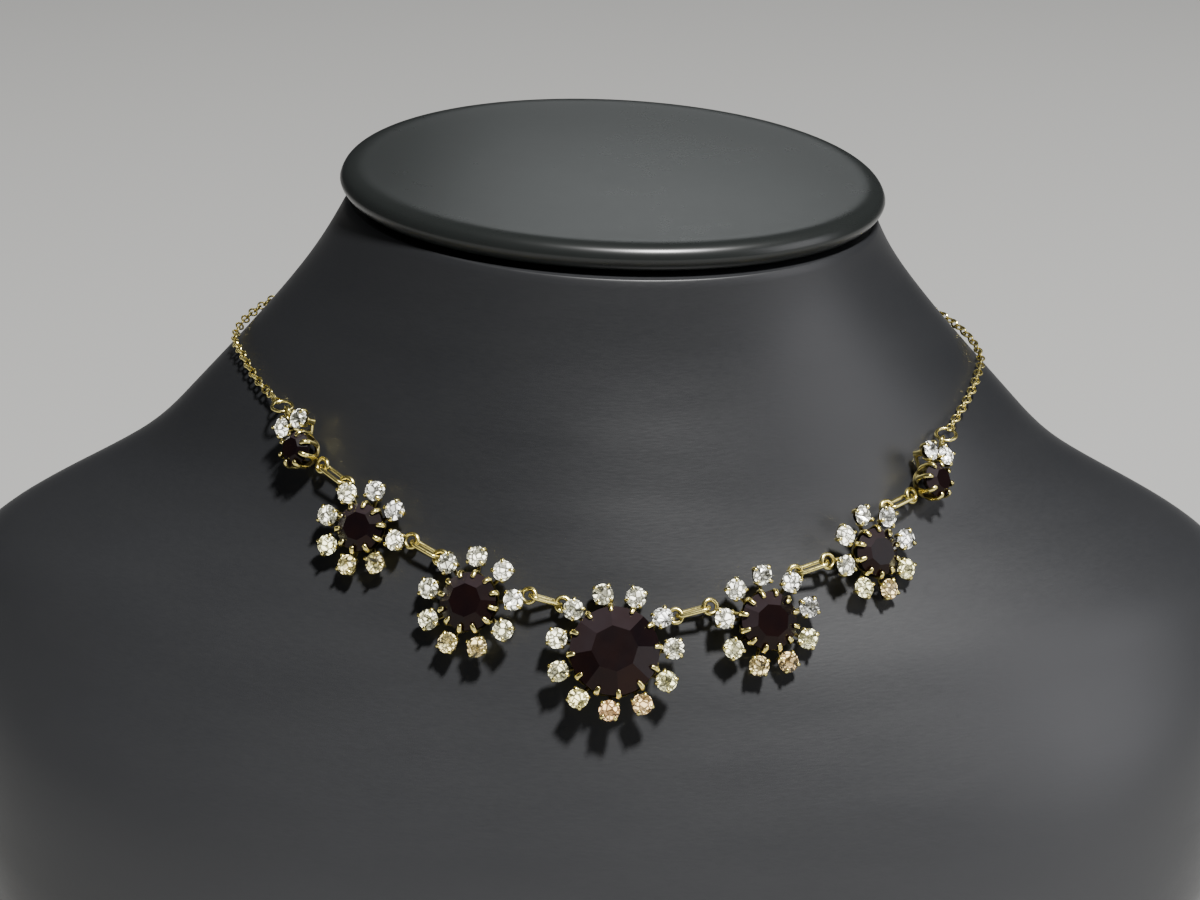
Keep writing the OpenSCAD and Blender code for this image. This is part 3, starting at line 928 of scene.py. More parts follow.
@dataclass
class NeckBust:
    """The low neck bust: its surface, and the slot and seat at its neck."""

    finish: SatinPaint
    sections: tuple[Section, ...] = (
        Section(0.122, 0.0900, 0.0540, -0.14, 0),
        Section(0.127, 0.0900, 0.0545, -0.14, 0),
        Section(0.130, 0.0890, 0.0550, -0.14, 0),
        Section(0.132, 0.0870, 0.0550, -0.14, 0),
        Section(0.133, 0.0845, 0.0550, -0.12, 0),
        Section(0.134, 0.0815, 0.0545, -0.08, 0),
        Section(0.134, 0.0775, 0.0540, 0, 0),
        Section(0.131, 0.0730, 0.0525, 0.1, 0),
        Section(0.1275, 0.0685, 0.0510, 0.2, 0),
        Section(0.112, 0.0635, 0.0500, 0.28, 0),
        Section(0.0915, 0.0590, 0.0490, 0.3, 0),
        Section(0.0825, 0.0545, 0.0480, 0.26, 0.02),
        Section(0.073, 0.0505, 0.0470, 0.2, 0.04),
        Section(0.064, 0.0465, 0.0465, 0.12, 0.065),
        Section(0.056, 0.0435, 0.0460, 0.05, 0.08),
        Section(0.051, 0.0415, 0.0460, 0, 0.085),
    )
    step: float = 0.010
    middle_y: float = 0.0175
    neck_top: float = 0.1492
    base_edge: Line = ((0.0, 0.0025), (0.0003, 0.0014), (0.0008, 0.0008), (0.0016, 0.0002))
    base_edge_h: float = 0.0025
    neck_edge: Line = ((0.00004, 0.00022), (0.0001, 0.00008), (0.00022, 0.0))
    ledge_inset: float = 0.006
    seat_inset: float = 0.007
    roll_from: float = 0.132
    slope_turn: float = 0.5
    slope_rise: float = 0.0005
    sides: int = 180
    rings: int = 110

    def section(self, t: float) -> Section:
        """Smooths the table of sections.

        Args:
            t: The height.

        Returns:
            The section there.
        """
        last = len(self.sections) - 1
        table = np.array([[s.half_width, s.front, s.back, s.nose, s.lean] for s in self.sections])
        table = np.vstack([2 * table[0] - table[1], table, 2 * table[last] - table[last - 1]])
        i = min(int(t / self.step), last - 1)
        u = t / self.step - i
        weights = [(1 - u) ** 3, 3 * u**3 - 6 * u * u + 4, 1 + 3 * u + 3 * u * u - 3 * u**3, u**3]
        return Section(*(np.array(weights) @ table[i:i + 4] / 6))

    def rolled_at(self, t: float) -> float:
        """The share of the cap's roll and offset that the neck has at a height."""
        return max(0.0, (t - self.roll_from) / (self.neck_top - self.roll_from)) ** 2

    def point(self, phi: float, t: float) -> np.ndarray:
        """A point of the surface, at an angle and a height."""
        return self.section(t).outline(phi, 0.0, self.rolled_at(t)) + np.array([0, self.middle_y, t])

    def normal(self, phi: float, t: float) -> np.ndarray:
        """Works out the outward direction at a point of the surface.

        Args:
            phi: The point's angle.
            t: Its height.

        Returns:
            The direction.
        """
        around = self.point(phi + self.slope_turn, t) - self.point(phi - self.slope_turn, t)
        upward = self.point(phi, t + self.slope_rise) - self.point(phi, t - self.slope_rise)
        return unit(np.cross(around, upward))

    def above(self, phi: float, t: float, lift: float) -> np.ndarray:
        """The point at that height above the surface."""
        return self.point(phi, t) + lift * self.normal(phi, t)

    def ring_at(self, section: Section, t: float, inset: float, rolled: float) -> np.ndarray:
        """Makes the ring of points round a section.

        Args:
            section: The section.
            t: Its height.
            inset: How far inside it the ring is.
            rolled: The share of the cap's roll and offset that it has.

        Returns:
            The points, one a row.
        """
        turns = [360 * i / self.sides for i in range(self.sides)]
        base = np.array([0, self.middle_y, t])
        return np.array([section.outline(phi, inset, rolled) for phi in turns]) + base

    def build(self, cap: "NeckCap") -> None:
        """Makes the bust's piece.

        Args:
            cap: The cap, whose tilt the seat takes.
        """
        shape = Shape()
        rows = [self.ring_at(self.section(z), z, inset, 0.0) for z, inset in self.base_edge]
        edge_h = self.neck_edge[-1][0]
        for j in range(self.rings + 1):
            t = self.base_edge_h + (self.neck_top - 2 * edge_h - self.base_edge_h) * j / self.rings
            rows.append(self.ring_at(self.section(t), t, 0.0, self.rolled_at(t)))
        neck = self.section(self.neck_top)
        for inset, drop in self.neck_edge:
            t = self.neck_top - drop
            rows.append(self.ring_at(neck, t, inset, self.rolled_at(t)))
        rows.append(self.ring_at(neck, self.neck_top, self.ledge_inset, 1.0))
        seat = self.ring_at(neck, 0.0, self.seat_inset, 1.0)
        seat[:, 2] = [cap.level(x, y) - cap.thickness - cap.seat_gap for x, y, _ in seat]
        rows.append(seat)
        shape.loft(rows, lids=True)
        make_piece("bust_form", shape, [self.finish.material()], Slot.BUST, "neck_bust", crease=50)


@dataclass
class NeckCap:
    """The flat round-edged cap on the neck."""

    finish: SatinPaint
    height: float = 0.1555
    lean: float = 0.088
    thickness: float = 0.005
    width: float = 0.106
    front: float = 0.0415
    back: float = 0.0485
    seat_gap: float = 0.0003
    nose: float = -0.01
    rim: Line = (
        (0.0016, 1.0), (0.0009, 0.87), (0.00035, 0.72), (0.0, 0.54), (0.0001, 0.41), (0.00038, 0.28),
        (0.0008, 0.172), (0.0014, 0.09), (0.0021, 0.04), (0.003, 0.013), (0.0042, 0.002), (0.006, 0.0))
    crown: float = 0.00035
    crown_line: Line = ((0.010, 0.12), (0.020, 0.5), (0.032, 0.85))
    middle_y: float = 0.0175
    rim_steps: int = 4

    def level(self, x: float, y: float) -> float:
        """The height of the cap's plane at a place."""
        return self.height + self.lean * (y - self.middle_y) - CAP_ROLL * (x - CAP_SHIFT)

    def build(self, bust: NeckBust) -> None:
        """Makes the cap's piece.

        Args:
            bust: The bust, for the number of sides.
        """
        outline = Section(self.width / 2, self.front, self.back, self.nose, 0)
        stations = [np.array([inset, drop]) for inset, drop in self.rim]
        count = (len(stations) - 1) * self.rim_steps
        profile = [smooth_curve(stations, i / self.rim_steps) for i in range(count + 1)]
        for inset, share in self.crown_line:
            profile.append(np.array([inset, -share * self.crown / self.thickness]))
        rows = []
        for inset, drop in profile:
            row = bust.ring_at(outline, 0.0, max(inset, 0.0), 1.0)
            row[:, 2] = [self.level(x, y) - self.thickness * drop for x, y, _ in row]
            rows.append(row)
        shape = Shape()
        shape.loft(rows, lids=True)
        make_piece("cap_form", shape, [self.finish.material()], Slot.CAP, "neck_cap", crease=50)


# Stones and settings


@dataclass(frozen=True)
class Cut:
    """Sizes of one kind of setting and its red stone."""

    stone_r: float
    ring_r: float
    clear_count: int
    prong_count: int
    girdle_z: float
    crown_h: float
    table_share: float
    reach: float

    def slope(self, facets: int) -> float:
        """How steep the crown is, with that many facets round it."""
        flat_r = self.stone_r * self.table_share * math.cos(math.radians(180 / facets))
        return self.crown_h / (self.stone_r - flat_r)


class Kind(Enum):
    """The four kinds of setting."""

    END = Cut(0.00325, 0.0057, 2, 8, 0.004, 0.0015, 0.6, 0.00055)
    OUTER = Cut(0.0044, 0.0072, 8, 10, 0.003, 0.0017, 0.6, 0.0006)
    MID = Cut(0.00525, 0.0083, 9, 12, 0.0032, 0.002, 0.58, 0.00065)
    CENTRE = Cut(0.008, 0.0106, 11, 12, 0.0036, 0.0026, 0.52, 0.0007)


@dataclass(frozen=True)
class Place:
    """Where a setting sits and how it is turned, with the angles of its parts."""

    name: str
    phi: float
    height: float
    lift: float
    turn: float
    nod: float
    kind: Kind
    clear_at: float
    prong_at: float
    loop_left: float
    loop_right: float
    facet_at: float


PLACES = (
    Place("left_end", -138.4, 0.1102, 0.0011, -44, 25, Kind.END, 150, 37.5, 116, -17, 20),
    Place("left_outer", -124.7, 0.0991, 0.0015, -22, 29, Kind.OUTER, 125, 14, 126, -4, 16),
    Place("left_mid", -106.2, 0.0899, 0.0019, -20, 29, Kind.MID, 131, 24.5, 137, 16, 9),
    Place("centre", -89, 0.083, 0.0024, -1, 34, Kind.CENTRE, 135, 7, 137, 33, 6),
    Place("right_mid", -71.5, 0.0873, 0.0016, 17, 24, Kind.MID, 131, 12, 160, 49, 12),
    Place("right_outer", -54.3, 0.0955, 0.0022, 31, 25, Kind.OUTER, 144, 8, 178, 52, 18),
    Place("right_end", -40.3, 0.1051, 0.0014, 48, 26, Kind.END, 40, 17.5, 194, 50, 20),
)

# The chain's way round the bust, as angle and height of each point, and its height above the bust
CHAIN_ROUTES: dict[Side, Line] = {
    Side.LEFT: ((-157, 0.119), (-166, 0.1208), (-176, 0.121), (-187, 0.122), (-199, 0.1234),
                (-211, 0.1248), (-223, 0.126), (-235, 0.127), (-246, 0.1276), (-257, 0.128)),
    Side.RIGHT: ((-21, 0.1164), (-13, 0.1183), (-4, 0.1192), (6, 0.1206), (17, 0.1222),
                 (29, 0.1238), (41, 0.1253), (53, 0.1266), (65, 0.1275), (76, 0.128)),
}
CHAIN_LIFT = 0.0012


@dataclass(frozen=True)
class Gem:
    """A cut stone's faces, ready to be placed, with the foiled ones marked."""

    points: np.ndarray
    faces: list[tuple[int, ...]]
    finish: list[int]
    outward: np.ndarray

    @staticmethod
    def hull(points: np.ndarray, foil_below: float, flat: float = 1.5) -> "Gem":
        """Cuts the stone whose corners these are.

        Args:
            points: The corners, all on the outside.
            foil_below: Faces whose middle is lower than this are foiled.
            flat: Faces that meet at less than this angle become one.

        Returns:
            The stone.
        """
        stone = bmesh.new()
        for p in points:
            stone.verts.new(p)
        bmesh.ops.convex_hull(stone, input=stone.verts)
        loose = [v for v in stone.verts if not v.link_faces]
        bmesh.ops.delete(stone, geom=loose, context="VERTS")
        bmesh.ops.dissolve_limit(stone, angle_limit=math.radians(flat), verts=stone.verts,
                                 edges=stone.edges)
        stone.verts.index_update()
        corners = np.array([v.co[:] for v in stone.verts])
        faces = [tuple(v.index for v in f.verts) for f in stone.faces]
        foil = [int(f.calc_center_median().z < foil_below) for f in stone.faces]
        outward = np.array([f.normal[:] for f in stone.faces])
        stone.free()
        return Gem(corners, faces, foil, outward)

    def add_to(self, shape: Shape, place: Frame, shades: np.ndarray) -> None:
        """Adds the stone to a shape, in a frame, with the shade of each facet."""
        shape.add(self.points, self.faces, place, self.finish, shades.clip(0, 1).tolist())


@dataclass
class Jeweller:
    """Sizes shared by all settings, and the finishes of stones and metal."""

    gold: bpy.types.Material
    red: list[bpy.types.Material]
    clear: list[bpy.types.Material]
    # Both kinds of stone
    stone_gap: float = 0.00006
    facets: int = 8
    # Red stones: the waist's radius and drop are shares of the stone's radius and depth, and the
    # foil starts that many girdle thicknesses down
    girdle: float = 0.00015
    stone_tip_z: float = 0.0004
    red_girdle_steps: int = 12
    red_waist: float = 0.56
    red_waist_drop: float = 0.55
    red_foil_drop: float = 1.2
    # Clear stones: the radii of table, star and waist are shares of the stone's, and the star's
    # height is a share of the crown's
    clear_r: float = 0.0019
    clear_girdle: float = 0.0025
    clear_girdle_t: float = 0.00015
    clear_top: float = 0.0034
    clear_tip: float = 0.001
    clear_table: float = 0.52
    clear_star: float = 0.79
    clear_star_up: float = 0.52
    clear_waist: float = 0.5
    clear_waist_drop: float = 0.0008
    clear_foil_drop: float = 0.0001
    clear_lean: float = 9.0
    # The wires behind the stones
    frame_in: float = 0.001
    frame_r: float = 0.0005
    spoke_r: float = 0.00035
    loop_r: float = 0.00125
    loop_wire_r: float = 0.00042
    loop_out: float = 0.0023
    wire_z: float = 0.0005
    spoke_z: float = 0.00045
    near_cup: float = 7.0
    # A clear stone's cup and claws, as radius and height, with a claw's radii counted from its leg
    cup_side: Line = ((0.0008, 0.0007), (0.00125, 0.0012), (0.00172, 0.0018), (0.002, 0.0024))
    cup_floor: Line = ((0.0, 0.0006), (0.0008, 0.0006), (0.00095, 0.0008), (0.0008, 0.001), (0.0, 0.001))
    cup_wall: float = 0.0002
    cup_claws: int = 4
    cup_dip: float = 0.4
    claw_w: float = 0.00033
    claw_t: float = 0.0002
    claw_out: float = 0.00025
    claw_line: Line = ((-0.0005, 0.0012), (-0.0001, 0.0019), (0.0, 0.0025), (-0.00002, 0.0029),
                       (-0.00018, 0.00318), (-0.00045, 0.00328))
    claw_lean: float = 5.0
    claw_spread: float = 0.00015
    claw_droop: float = 0.25
    # A red stone's holder, counted inward or outward from the stone's edge
    wall: float = 0.0004
    foot_in: float = 0.0013
    foot_z: float = 0.0002
    shoulder_z: float = 0.0018
    holder_bend_in: float = 0.0006
    holder_bend_drop: float = 0.0007
    holder_shoulder_out: float = 0.0001
    holder_thin: float = 0.8
    holder_dip: float = 0.45
    # Its prongs: the root is counted from the leg and the shoulder, and the bend from the leg and
    # the girdle
    prong_w: float = 0.00046
    prong_t: float = 0.00028
    prong_out: float = 0.00035
    prong_root: Line = ((-0.0007, -0.0006), (-0.0002, 0.0003))
    prong_bend: Line = ((0.0, -0.0002), (-0.00006, 0.00025))
    prong_over: float = 0.0004
    prong_over_rise: float = 0.9
    prong_tip_rise: float = 0.92
    prong_lean: float = 1.5
    prong_spread: tuple[float, float] = (-0.0001, 0.00015)
    # How far the metal behind and between the stones is darkened, by tarnish and by painted shade
    hidden_tarnish_and_shade: float = 0.8
    holder_tarnish_and_shade: float = 0.9
    end_holder_tarnish_and_shade: float = 0.2
    # End pieces: the posts under their raised cups, their upright loop and its jump ring
    post_radii: tuple[float, float, float] = (0.0007, 0.0006, 0.00075)
    end_clear_step: float = 45.0
    end_clear_up: float = 0.0017
    end_loop_out: float = 0.0047
    end_top_out: float = 0.0033
    end_top_z: float = 0.0027
    end_top_r: float = 0.00095
    stem_from: float = 0.001
    ring_r: float = 0.0019
    ring_wire_r: float = 0.00032
    hook_gap: float = 0.0001
    rng: np.random.Generator = field(default_factory=lambda: np.random.default_rng(7))

    def clear_gem(self) -> Gem:
        """Cuts the clear stone, a round one with table, star, kite and girdle facets.

        Returns:
            The stone.
        """
        r = self.clear_r
        half = 180 / self.facets
        high = self.clear_girdle + self.clear_girdle_t
        star_z = high + (self.clear_top - high) * self.clear_star_up
        table = circle(r * self.clear_table, self.facets, self.clear_top)
        star = circle(r * self.clear_star, self.facets, star_z, half)
        upper = circle(r, 2 * self.facets, high)
        lower = circle(r, 2 * self.facets, self.clear_girdle)
        waist_z = self.clear_girdle - self.clear_waist_drop
        waist = circle(r * self.clear_waist, self.facets, waist_z, half)
        tip = np.array([[0, 0, self.clear_tip]])
        corners = np.vstack([table, star, upper, lower, waist, tip])
        return Gem.hull(corners, self.clear_girdle - self.clear_foil_drop)

    def red_gem(self, cut: Cut, facet_at: float) -> Gem:
        """Cuts a red stone, with a flat table and broad crown facets.

        Args:
            cut: The stone's sizes.
            facet_at: The angle of one corner of its table.

        Returns:
            The stone.
        """
        r = cut.stone_r
        pitch = 360 / self.facets
        slope = cut.slope(self.facets)
        steps = self.red_girdle_steps * self.facets
        girdle = []
        for i in range(steps):
            angle = 360 * i / steps
            off = abs(angle % pitch - pitch / 2)
            rise = (r - r * math.cos(math.radians(off))) * slope
            girdle.append(polar(r, facet_at + angle, cut.girdle_z + rise))
            girdle.append(polar(r, facet_at + angle, cut.girdle_z - self.girdle))
        table = circle(r * cut.table_share, self.facets, cut.girdle_z + cut.crown_h, facet_at)
        waist_z = cut.girdle_z - (cut.girdle_z - self.stone_tip_z) * self.red_waist_drop
        waist = circle(r * self.red_waist, self.facets, waist_z, facet_at + pitch / 2)
        tip = np.array([[0, 0, self.stone_tip_z]])
        corners = np.vstack([table, girdle, waist, tip])
        return Gem.hull(corners, cut.girdle_z - self.girdle * self.red_foil_drop)


@dataclass
class Setting:
    """One setting: its metal, its red stone and its clear stones."""

    # A red stone's painted light: how far up and left the light comes from, the facets it reaches, their
    # painted sheen and its rise, the shade of the others and the rise of their painted glow towards the
    # foot, and the spread
    LIGHT_UP = 0.85
    LIGHT_LEFT = 0.5
    LIT_ABOVE = 0.15
    LIT_SHADE = 0.8
    LIT_RISE = 0.4
    DARK_SHADE = 0.08
    DARK_RISE = 0.6
    SHADE_SPREAD = 0.08
    # A clear stone's age: its part at the foot, how suddenly that comes and the foot's turn, its
    # part on the left and the left's turn, the share that any small setting has, and the spread
    FOOT_AGE = 0.9
    FOOT_POWER = 4
    FOOT_TURN = 12
    LEFT_AGE = 0.22
    LEFT_TURN = 20
    LEAST_AGE = 0.4
    AGE_SPREAD = (-0.05, 0.08)

    place: Place
    bust: NeckBust
    kit: Jeweller

    def __post_init__(self) -> None:
        """Works out the setting's frame."""
        p = self.place
        self.cut = p.kind.value
        self.is_end = p.kind is Kind.END
        self.is_left = p.phi < -90
        self.side = Side.LEFT if self.is_left else Side.RIGHT
        self.frame = Frame.facing(self.bust.above(p.phi, p.height, p.lift), p.turn, p.nod)
        self.low_at = p.loop_right if self.is_left else p.loop_left
        self.top_at = p.loop_left if self.is_left else p.loop_right
        self.loop_radius = self.kit.end_loop_out if self.is_end else self.cut.ring_r + self.kit.loop_out

    def loop_frame(self, angle: float) -> Frame:
        """The frame of the loop at that angle."""
        return self.frame.at(polar(self.loop_radius, angle, self.kit.wire_z)).turned(angle)

    def clear_frames(self) -> list[tuple[float, Frame]]:
        """Finds the clear stones' places.

        Returns:
            The angle and the frame of each one.
        """
        step = -360 / self.cut.clear_count
        rise = 0.0
        if self.is_end:
            step = -self.kit.end_clear_step if self.is_left else self.kit.end_clear_step
            rise = self.kit.end_clear_up
        found = []
        for i in range(self.cut.clear_count):
            angle = self.place.clear_at + step * i
            found.append((angle, self.frame.at(polar(self.cut.ring_r, angle, rise)).turned(angle)))
        return found

    def red_stone(self) -> None:
        """Makes the red stone's piece."""
        shape = Shape()
        gem = self.kit.red_gem(self.cut, self.place.facet_at)
        x, y = gem.outward[:, 0], gem.outward[:, 1]
        # Painted light: facets facing up and left get a painted sheen, the others a painted glow that
        # grows towards the foot
        lit = self.LIGHT_UP * y - self.LIGHT_LEFT * x
        dark = self.DARK_SHADE + self.DARK_RISE * (-y).clip(0)
        shades = np.where(lit > self.LIT_ABOVE, self.LIT_SHADE + self.LIT_RISE * lit, dark)
        shades += self.kit.rng.uniform(-self.SHADE_SPREAD, self.SHADE_SPREAD, len(gem.faces))
        gem.add_to(shape, self.frame, shades)
        make_piece(f"garnet_{self.place.name}_cut", shape, self.kit.red, Slot.RED,
                   f"garnet_{self.place.name}", crease=0)

    def age_at(self, angle: float) -> float:
        """Works out how far a clear stone has aged, most at the foot and a little on the left.

        Args:
            angle: The stone's angle on the setting.

        Returns:
            Its age, from 0 when new to about 1.
        """
        foot = 0.5 - 0.5 * math.sin(math.radians(angle - self.FOOT_TURN))
        left = 0.5 - 0.5 * math.cos(math.radians(angle + self.LEFT_TURN))
        worn = self.LEAST_AGE + (1 - self.LEAST_AGE) * self.cut.stone_r / Kind.CENTRE.value.stone_r
        return worn * (self.FOOT_AGE * foot**self.FOOT_POWER + self.LEFT_AGE * left)

    def clear_stones(self) -> None:
        """Makes the clear stones, each a little out of true in its cup."""
        shape = Shape()
        kit = self.kit
        gem = kit.clear_gem()
        for angle, spot in self.clear_frames():
            tilt = kit.rng.uniform(-kit.clear_lean, kit.clear_lean, 2)
            turn = kit.rng.uniform(0, 360 / kit.facets)
            seat = spot.at(np.array([0, 0, kit.clear_girdle])).rolled(tilt[0])
            seat = seat.turned(90).rolled(tilt[1]).turned(turn)
            shape.age = float(self.age_at(angle) + kit.rng.uniform(*self.AGE_SPREAD))
            shades = kit.rng.uniform(0, 1, len(gem.faces))
            gem.add_to(shape, seat.at(np.array([0, 0, -kit.clear_girdle])), shades)
        make_piece(f"clear_{self.place.name}_cut", shape, kit.clear, Slot.CLEAR,
                   f"clear_stones_{self.place.name}", crease=0)

    def cup(self, shape: Shape, spot: Frame) -> None:
        """Adds the claw cup of a clear stone.

        Args:
            shape: The mesh to add to.
            spot: The cup's frame.
        """
        kit = self.kit
        pitch = 360 / kit.cup_claws
        # The cup is darkened by tarnish and painted shade
        shape.age = kit.hidden_tarnish_and_shade
        shape.crown(kit.cup_side, kit.cup_wall, kit.cup_claws, pitch / 2, kit.cup_dip, spot)
        shape.lathe(kit.cup_floor, count=24, place=spot)
        shape.age = 0.0
        claw_r = kit.clear_r * math.cos(math.radians(180 / kit.facets)) + kit.stone_gap + kit.claw_out
        for i in range(kit.cup_claws):
            lean = kit.rng.uniform(-kit.claw_lean, kit.claw_lean)
            reach = kit.rng.uniform(0.0, kit.claw_spread)
            path = [(claw_r + out, z) for out, z in kit.claw_line]
            path[-1] = (path[-1][0] - reach, path[-1][1] - reach * kit.claw_droop)
            shape.claw(spot.turned(pitch / 2 + pitch * i + lean), path, kit.claw_w, kit.claw_t)

    def holder(self, shape: Shape) -> None:
        """Adds the red stone's holder, a scalloped wall with prongs.

        Args:
            shape: The mesh to add to.
        """
        kit = self.kit
        r = self.cut.stone_r
        top = self.cut.girdle_z - kit.girdle
        count = self.cut.prong_count
        first = self.place.prong_at
        side = [(r - kit.foot_in, kit.foot_z),
                (r - kit.holder_bend_in, kit.shoulder_z - kit.holder_bend_drop),
                (r + kit.holder_shoulder_out, kit.shoulder_z), (r + kit.wall, top)]
        # The holder is darkened by tarnish and painted shade
        shape.age = kit.end_holder_tarnish_and_shade if self.is_end else kit.holder_tarnish_and_shade
        shape.crown(side, kit.wall * kit.holder_thin, count, first, kit.holder_dip, self.frame)
        shape.age = 0.0
        z = self.cut.girdle_z
        slope = self.cut.slope(kit.facets)
        leg = r + kit.stone_gap + kit.prong_out
        over = (kit.prong_out + kit.stone_gap) * math.hypot(1, slope)
        for i in range(count):
            lean = kit.rng.uniform(-kit.prong_lean, kit.prong_lean)
            reach = self.cut.reach + kit.rng.uniform(*kit.prong_spread)
            path = [(leg + out, kit.shoulder_z + up) for out, up in kit.prong_root]
            path += [(leg + out, z + up) for out, up in kit.prong_bend]
            path.append((leg - kit.prong_over, z + kit.prong_over * slope + over * kit.prong_over_rise))
            path.append((r - reach, z + reach * slope + over * kit.prong_tip_rise))
            spot = self.frame.turned(first + 360 * i / count + lean)
            shape.claw(spot, path, kit.prong_w, kit.prong_t)

    def wires(self, shape: Shape) -> None:
        """Adds the ring, spokes and loops behind the stones.

        Args:
            shape: The mesh to add to.
        """
        kit = self.kit
        ring_r = self.cut.stone_r - kit.frame_in
        # The wires behind the stones are darkened by tarnish and painted shade
        shape.age = kit.hidden_tarnish_and_shade
        shape.ring(ring_r, kit.frame_r, self.frame.at(np.array([0, 0, kit.wire_z])), count=64)
        for angle, _ in self.clear_frames():
            shape.rod(polar(ring_r, angle, kit.spoke_z), polar(self.cut.ring_r, angle, kit.spoke_z),
                      kit.spoke_r, self.frame)
        shape.age = 0.0
        loops = [self.place.loop_left, self.place.loop_right]
        if self.is_end:
            loops = [self.low_at]
            self.end_parts(shape)
        pitch = 360 / self.cut.clear_count
        for angle in loops:
            shape.ring(kit.loop_r, kit.loop_wire_r, self.loop_frame(angle))
            turn = (angle - self.place.clear_at + 360 + pitch / 2) % pitch - pitch / 2
            if self.is_end or abs(turn) > kit.near_cup:
                end = polar(self.loop_radius - kit.loop_r, angle, kit.wire_z)
                shape.rod(polar(ring_r, angle, kit.wire_z), end, kit.spoke_r, self.frame)

    def end_parts(self, shape: Shape) -> None:
        """Adds the posts under an end piece's raised cups, and its upright loop.

        Args:
            shape: The mesh to add to.
        """
        kit = self.kit
        foot, waist, head = kit.post_radii
        foot_z = kit.spoke_z
        head_z = kit.end_clear_up + kit.cup_side[0][1]
        post = [(0, foot_z), (foot, foot_z), (waist, head_z / 2), (head, head_z), (0, head_z)]
        for angle, _ in self.clear_frames():
            shape.lathe(post, count=24, place=self.frame.at(polar(self.cut.ring_r, angle)))
        shape.ring(kit.end_top_r, kit.ring_wire_r, self.ring_frame().upright(), count=28)
        stem = polar(self.cut.ring_r, self.place.clear_at)
        stem = stem + polar(kit.stem_from, self.top_at, kit.end_top_z)
        end = self.top_loop() - polar(kit.end_top_r, self.top_at)
        shape.rod(stem, end, kit.ring_wire_r, self.frame)

    def top_loop(self) -> np.ndarray:
        """The middle of an end piece's upright loop, in the setting's frame."""
        cup = polar(self.cut.ring_r, self.place.clear_at)
        return cup + polar(self.kit.end_top_out, self.top_at, self.kit.end_top_z)

    def pull(self) -> np.ndarray:
        """The direction in which the chain pulls an end piece's jump ring."""
        start = self.bust.above(*CHAIN_ROUTES[self.side][0], CHAIN_LIFT)
        return unit(start - self.frame.put(self.top_loop()))

    def ring_frame(self) -> Frame:
        """The jump ring's frame, at the middle of the upright loop."""
        return Frame.along(self.frame.put(self.top_loop()), self.pull(), X_AXIS)

    def ring_seat(self) -> Frame:
        """The jump ring's frame, at its own middle."""
        reach = self.kit.end_top_r - self.kit.ring_wire_r - self.kit.hook_gap + self.kit.ring_r
        return self.ring_frame().at(reach * X_AXIS)

    def metal(self) -> None:
        """Makes the setting's metal piece."""
        shape = Shape()
        self.holder(shape)
        for _, spot in self.clear_frames():
            self.cup(shape, spot)
        self.wires(shape)
        node = f"setting_{self.place.name}"
        make_piece(f"{node}_wirework", shape, [self.kit.gold], Slot.GOLD, node)

    def build(self) -> None:
        """Makes the setting's three pieces."""
        self.red_stone()
        self.clear_stones()
        self.metal()


@dataclass
class OvalLink:
    """The oval link from one setting's loop to the next one's, standing on edge."""

    left: Setting
    right: Setting
    name: str
    wire_r: float = 0.0004
    half_w: float = 0.0011
    roll: float = 20.0
    end_steps: int = 16

    @staticmethod
    def hook_point(setting: Setting, angle: float, towards: np.ndarray) -> np.ndarray:
        """The middle of a loop's wire on the side that faces a point.

        Args:
            setting: The setting that has the loop.
            angle: The loop's angle on it.
            towards: The point.

        Returns:
            The place on the loop's wire.
        """
        loop = setting.loop_frame(angle)
        away = towards - loop.origin
        flat = away - (away @ loop.z) * loop.z
        return loop.origin + setting.kit.loop_r * unit(flat)

    def build(self) -> None:
        """Makes the link's piece."""
        kit = self.left.kit
        left_at = self.left.low_at if self.left.is_end else self.left.place.loop_right
        right_at = self.right.place.loop_left
        start = self.hook_point(self.left, left_at, self.right.loop_frame(right_at).origin)
        end = self.hook_point(self.right, right_at, self.left.loop_frame(left_at).origin)
        facing = self.left.frame.z + self.right.frame.z
        spot = Frame.along((start + end) / 2, unit(end - start), facing).rolled(self.roll)
        hook = self.half_w - self.wire_r - kit.loop_wire_r - kit.hook_gap
        half = np.linalg.norm(end - start) / 2 - hook
        path = []
        for side in (1, -1):
            for i in range(self.end_steps + 1):
                turn = -90 + 180 * i / self.end_steps
                path.append(side * (half * X_AXIS + polar(self.half_w, turn)))
        shape = Shape()
        shape.wire(np.array(path), WORLD.z, self.wire_r, spot, closed=True, sides=14)
        make_piece(f"{self.name}_wire", shape, [kit.gold], Slot.GOLD, self.name)


@dataclass
class JumpRing:
    """The jump ring between an end piece and the chain, with the cut where its ends meet."""

    setting: Setting
    gap: float = 1.5
    gap_at: float = 62.0
    steps: int = 48

    def build(self) -> None:
        """Makes the ring's piece."""
        kit = self.setting.kit
        turns = np.linspace(self.gap, 360 - self.gap, self.steps + 1)
        path = np.array([polar(kit.ring_r, self.gap_at + t) for t in turns])
        shape = Shape()
        shape.wire(path, WORLD.z, kit.ring_wire_r, self.setting.ring_seat(), sides=14)
        node = f"jump_ring_{self.setting.side.name.lower()}"
        make_piece(f"{node}_wire", shape, [kit.gold], Slot.GOLD, node)


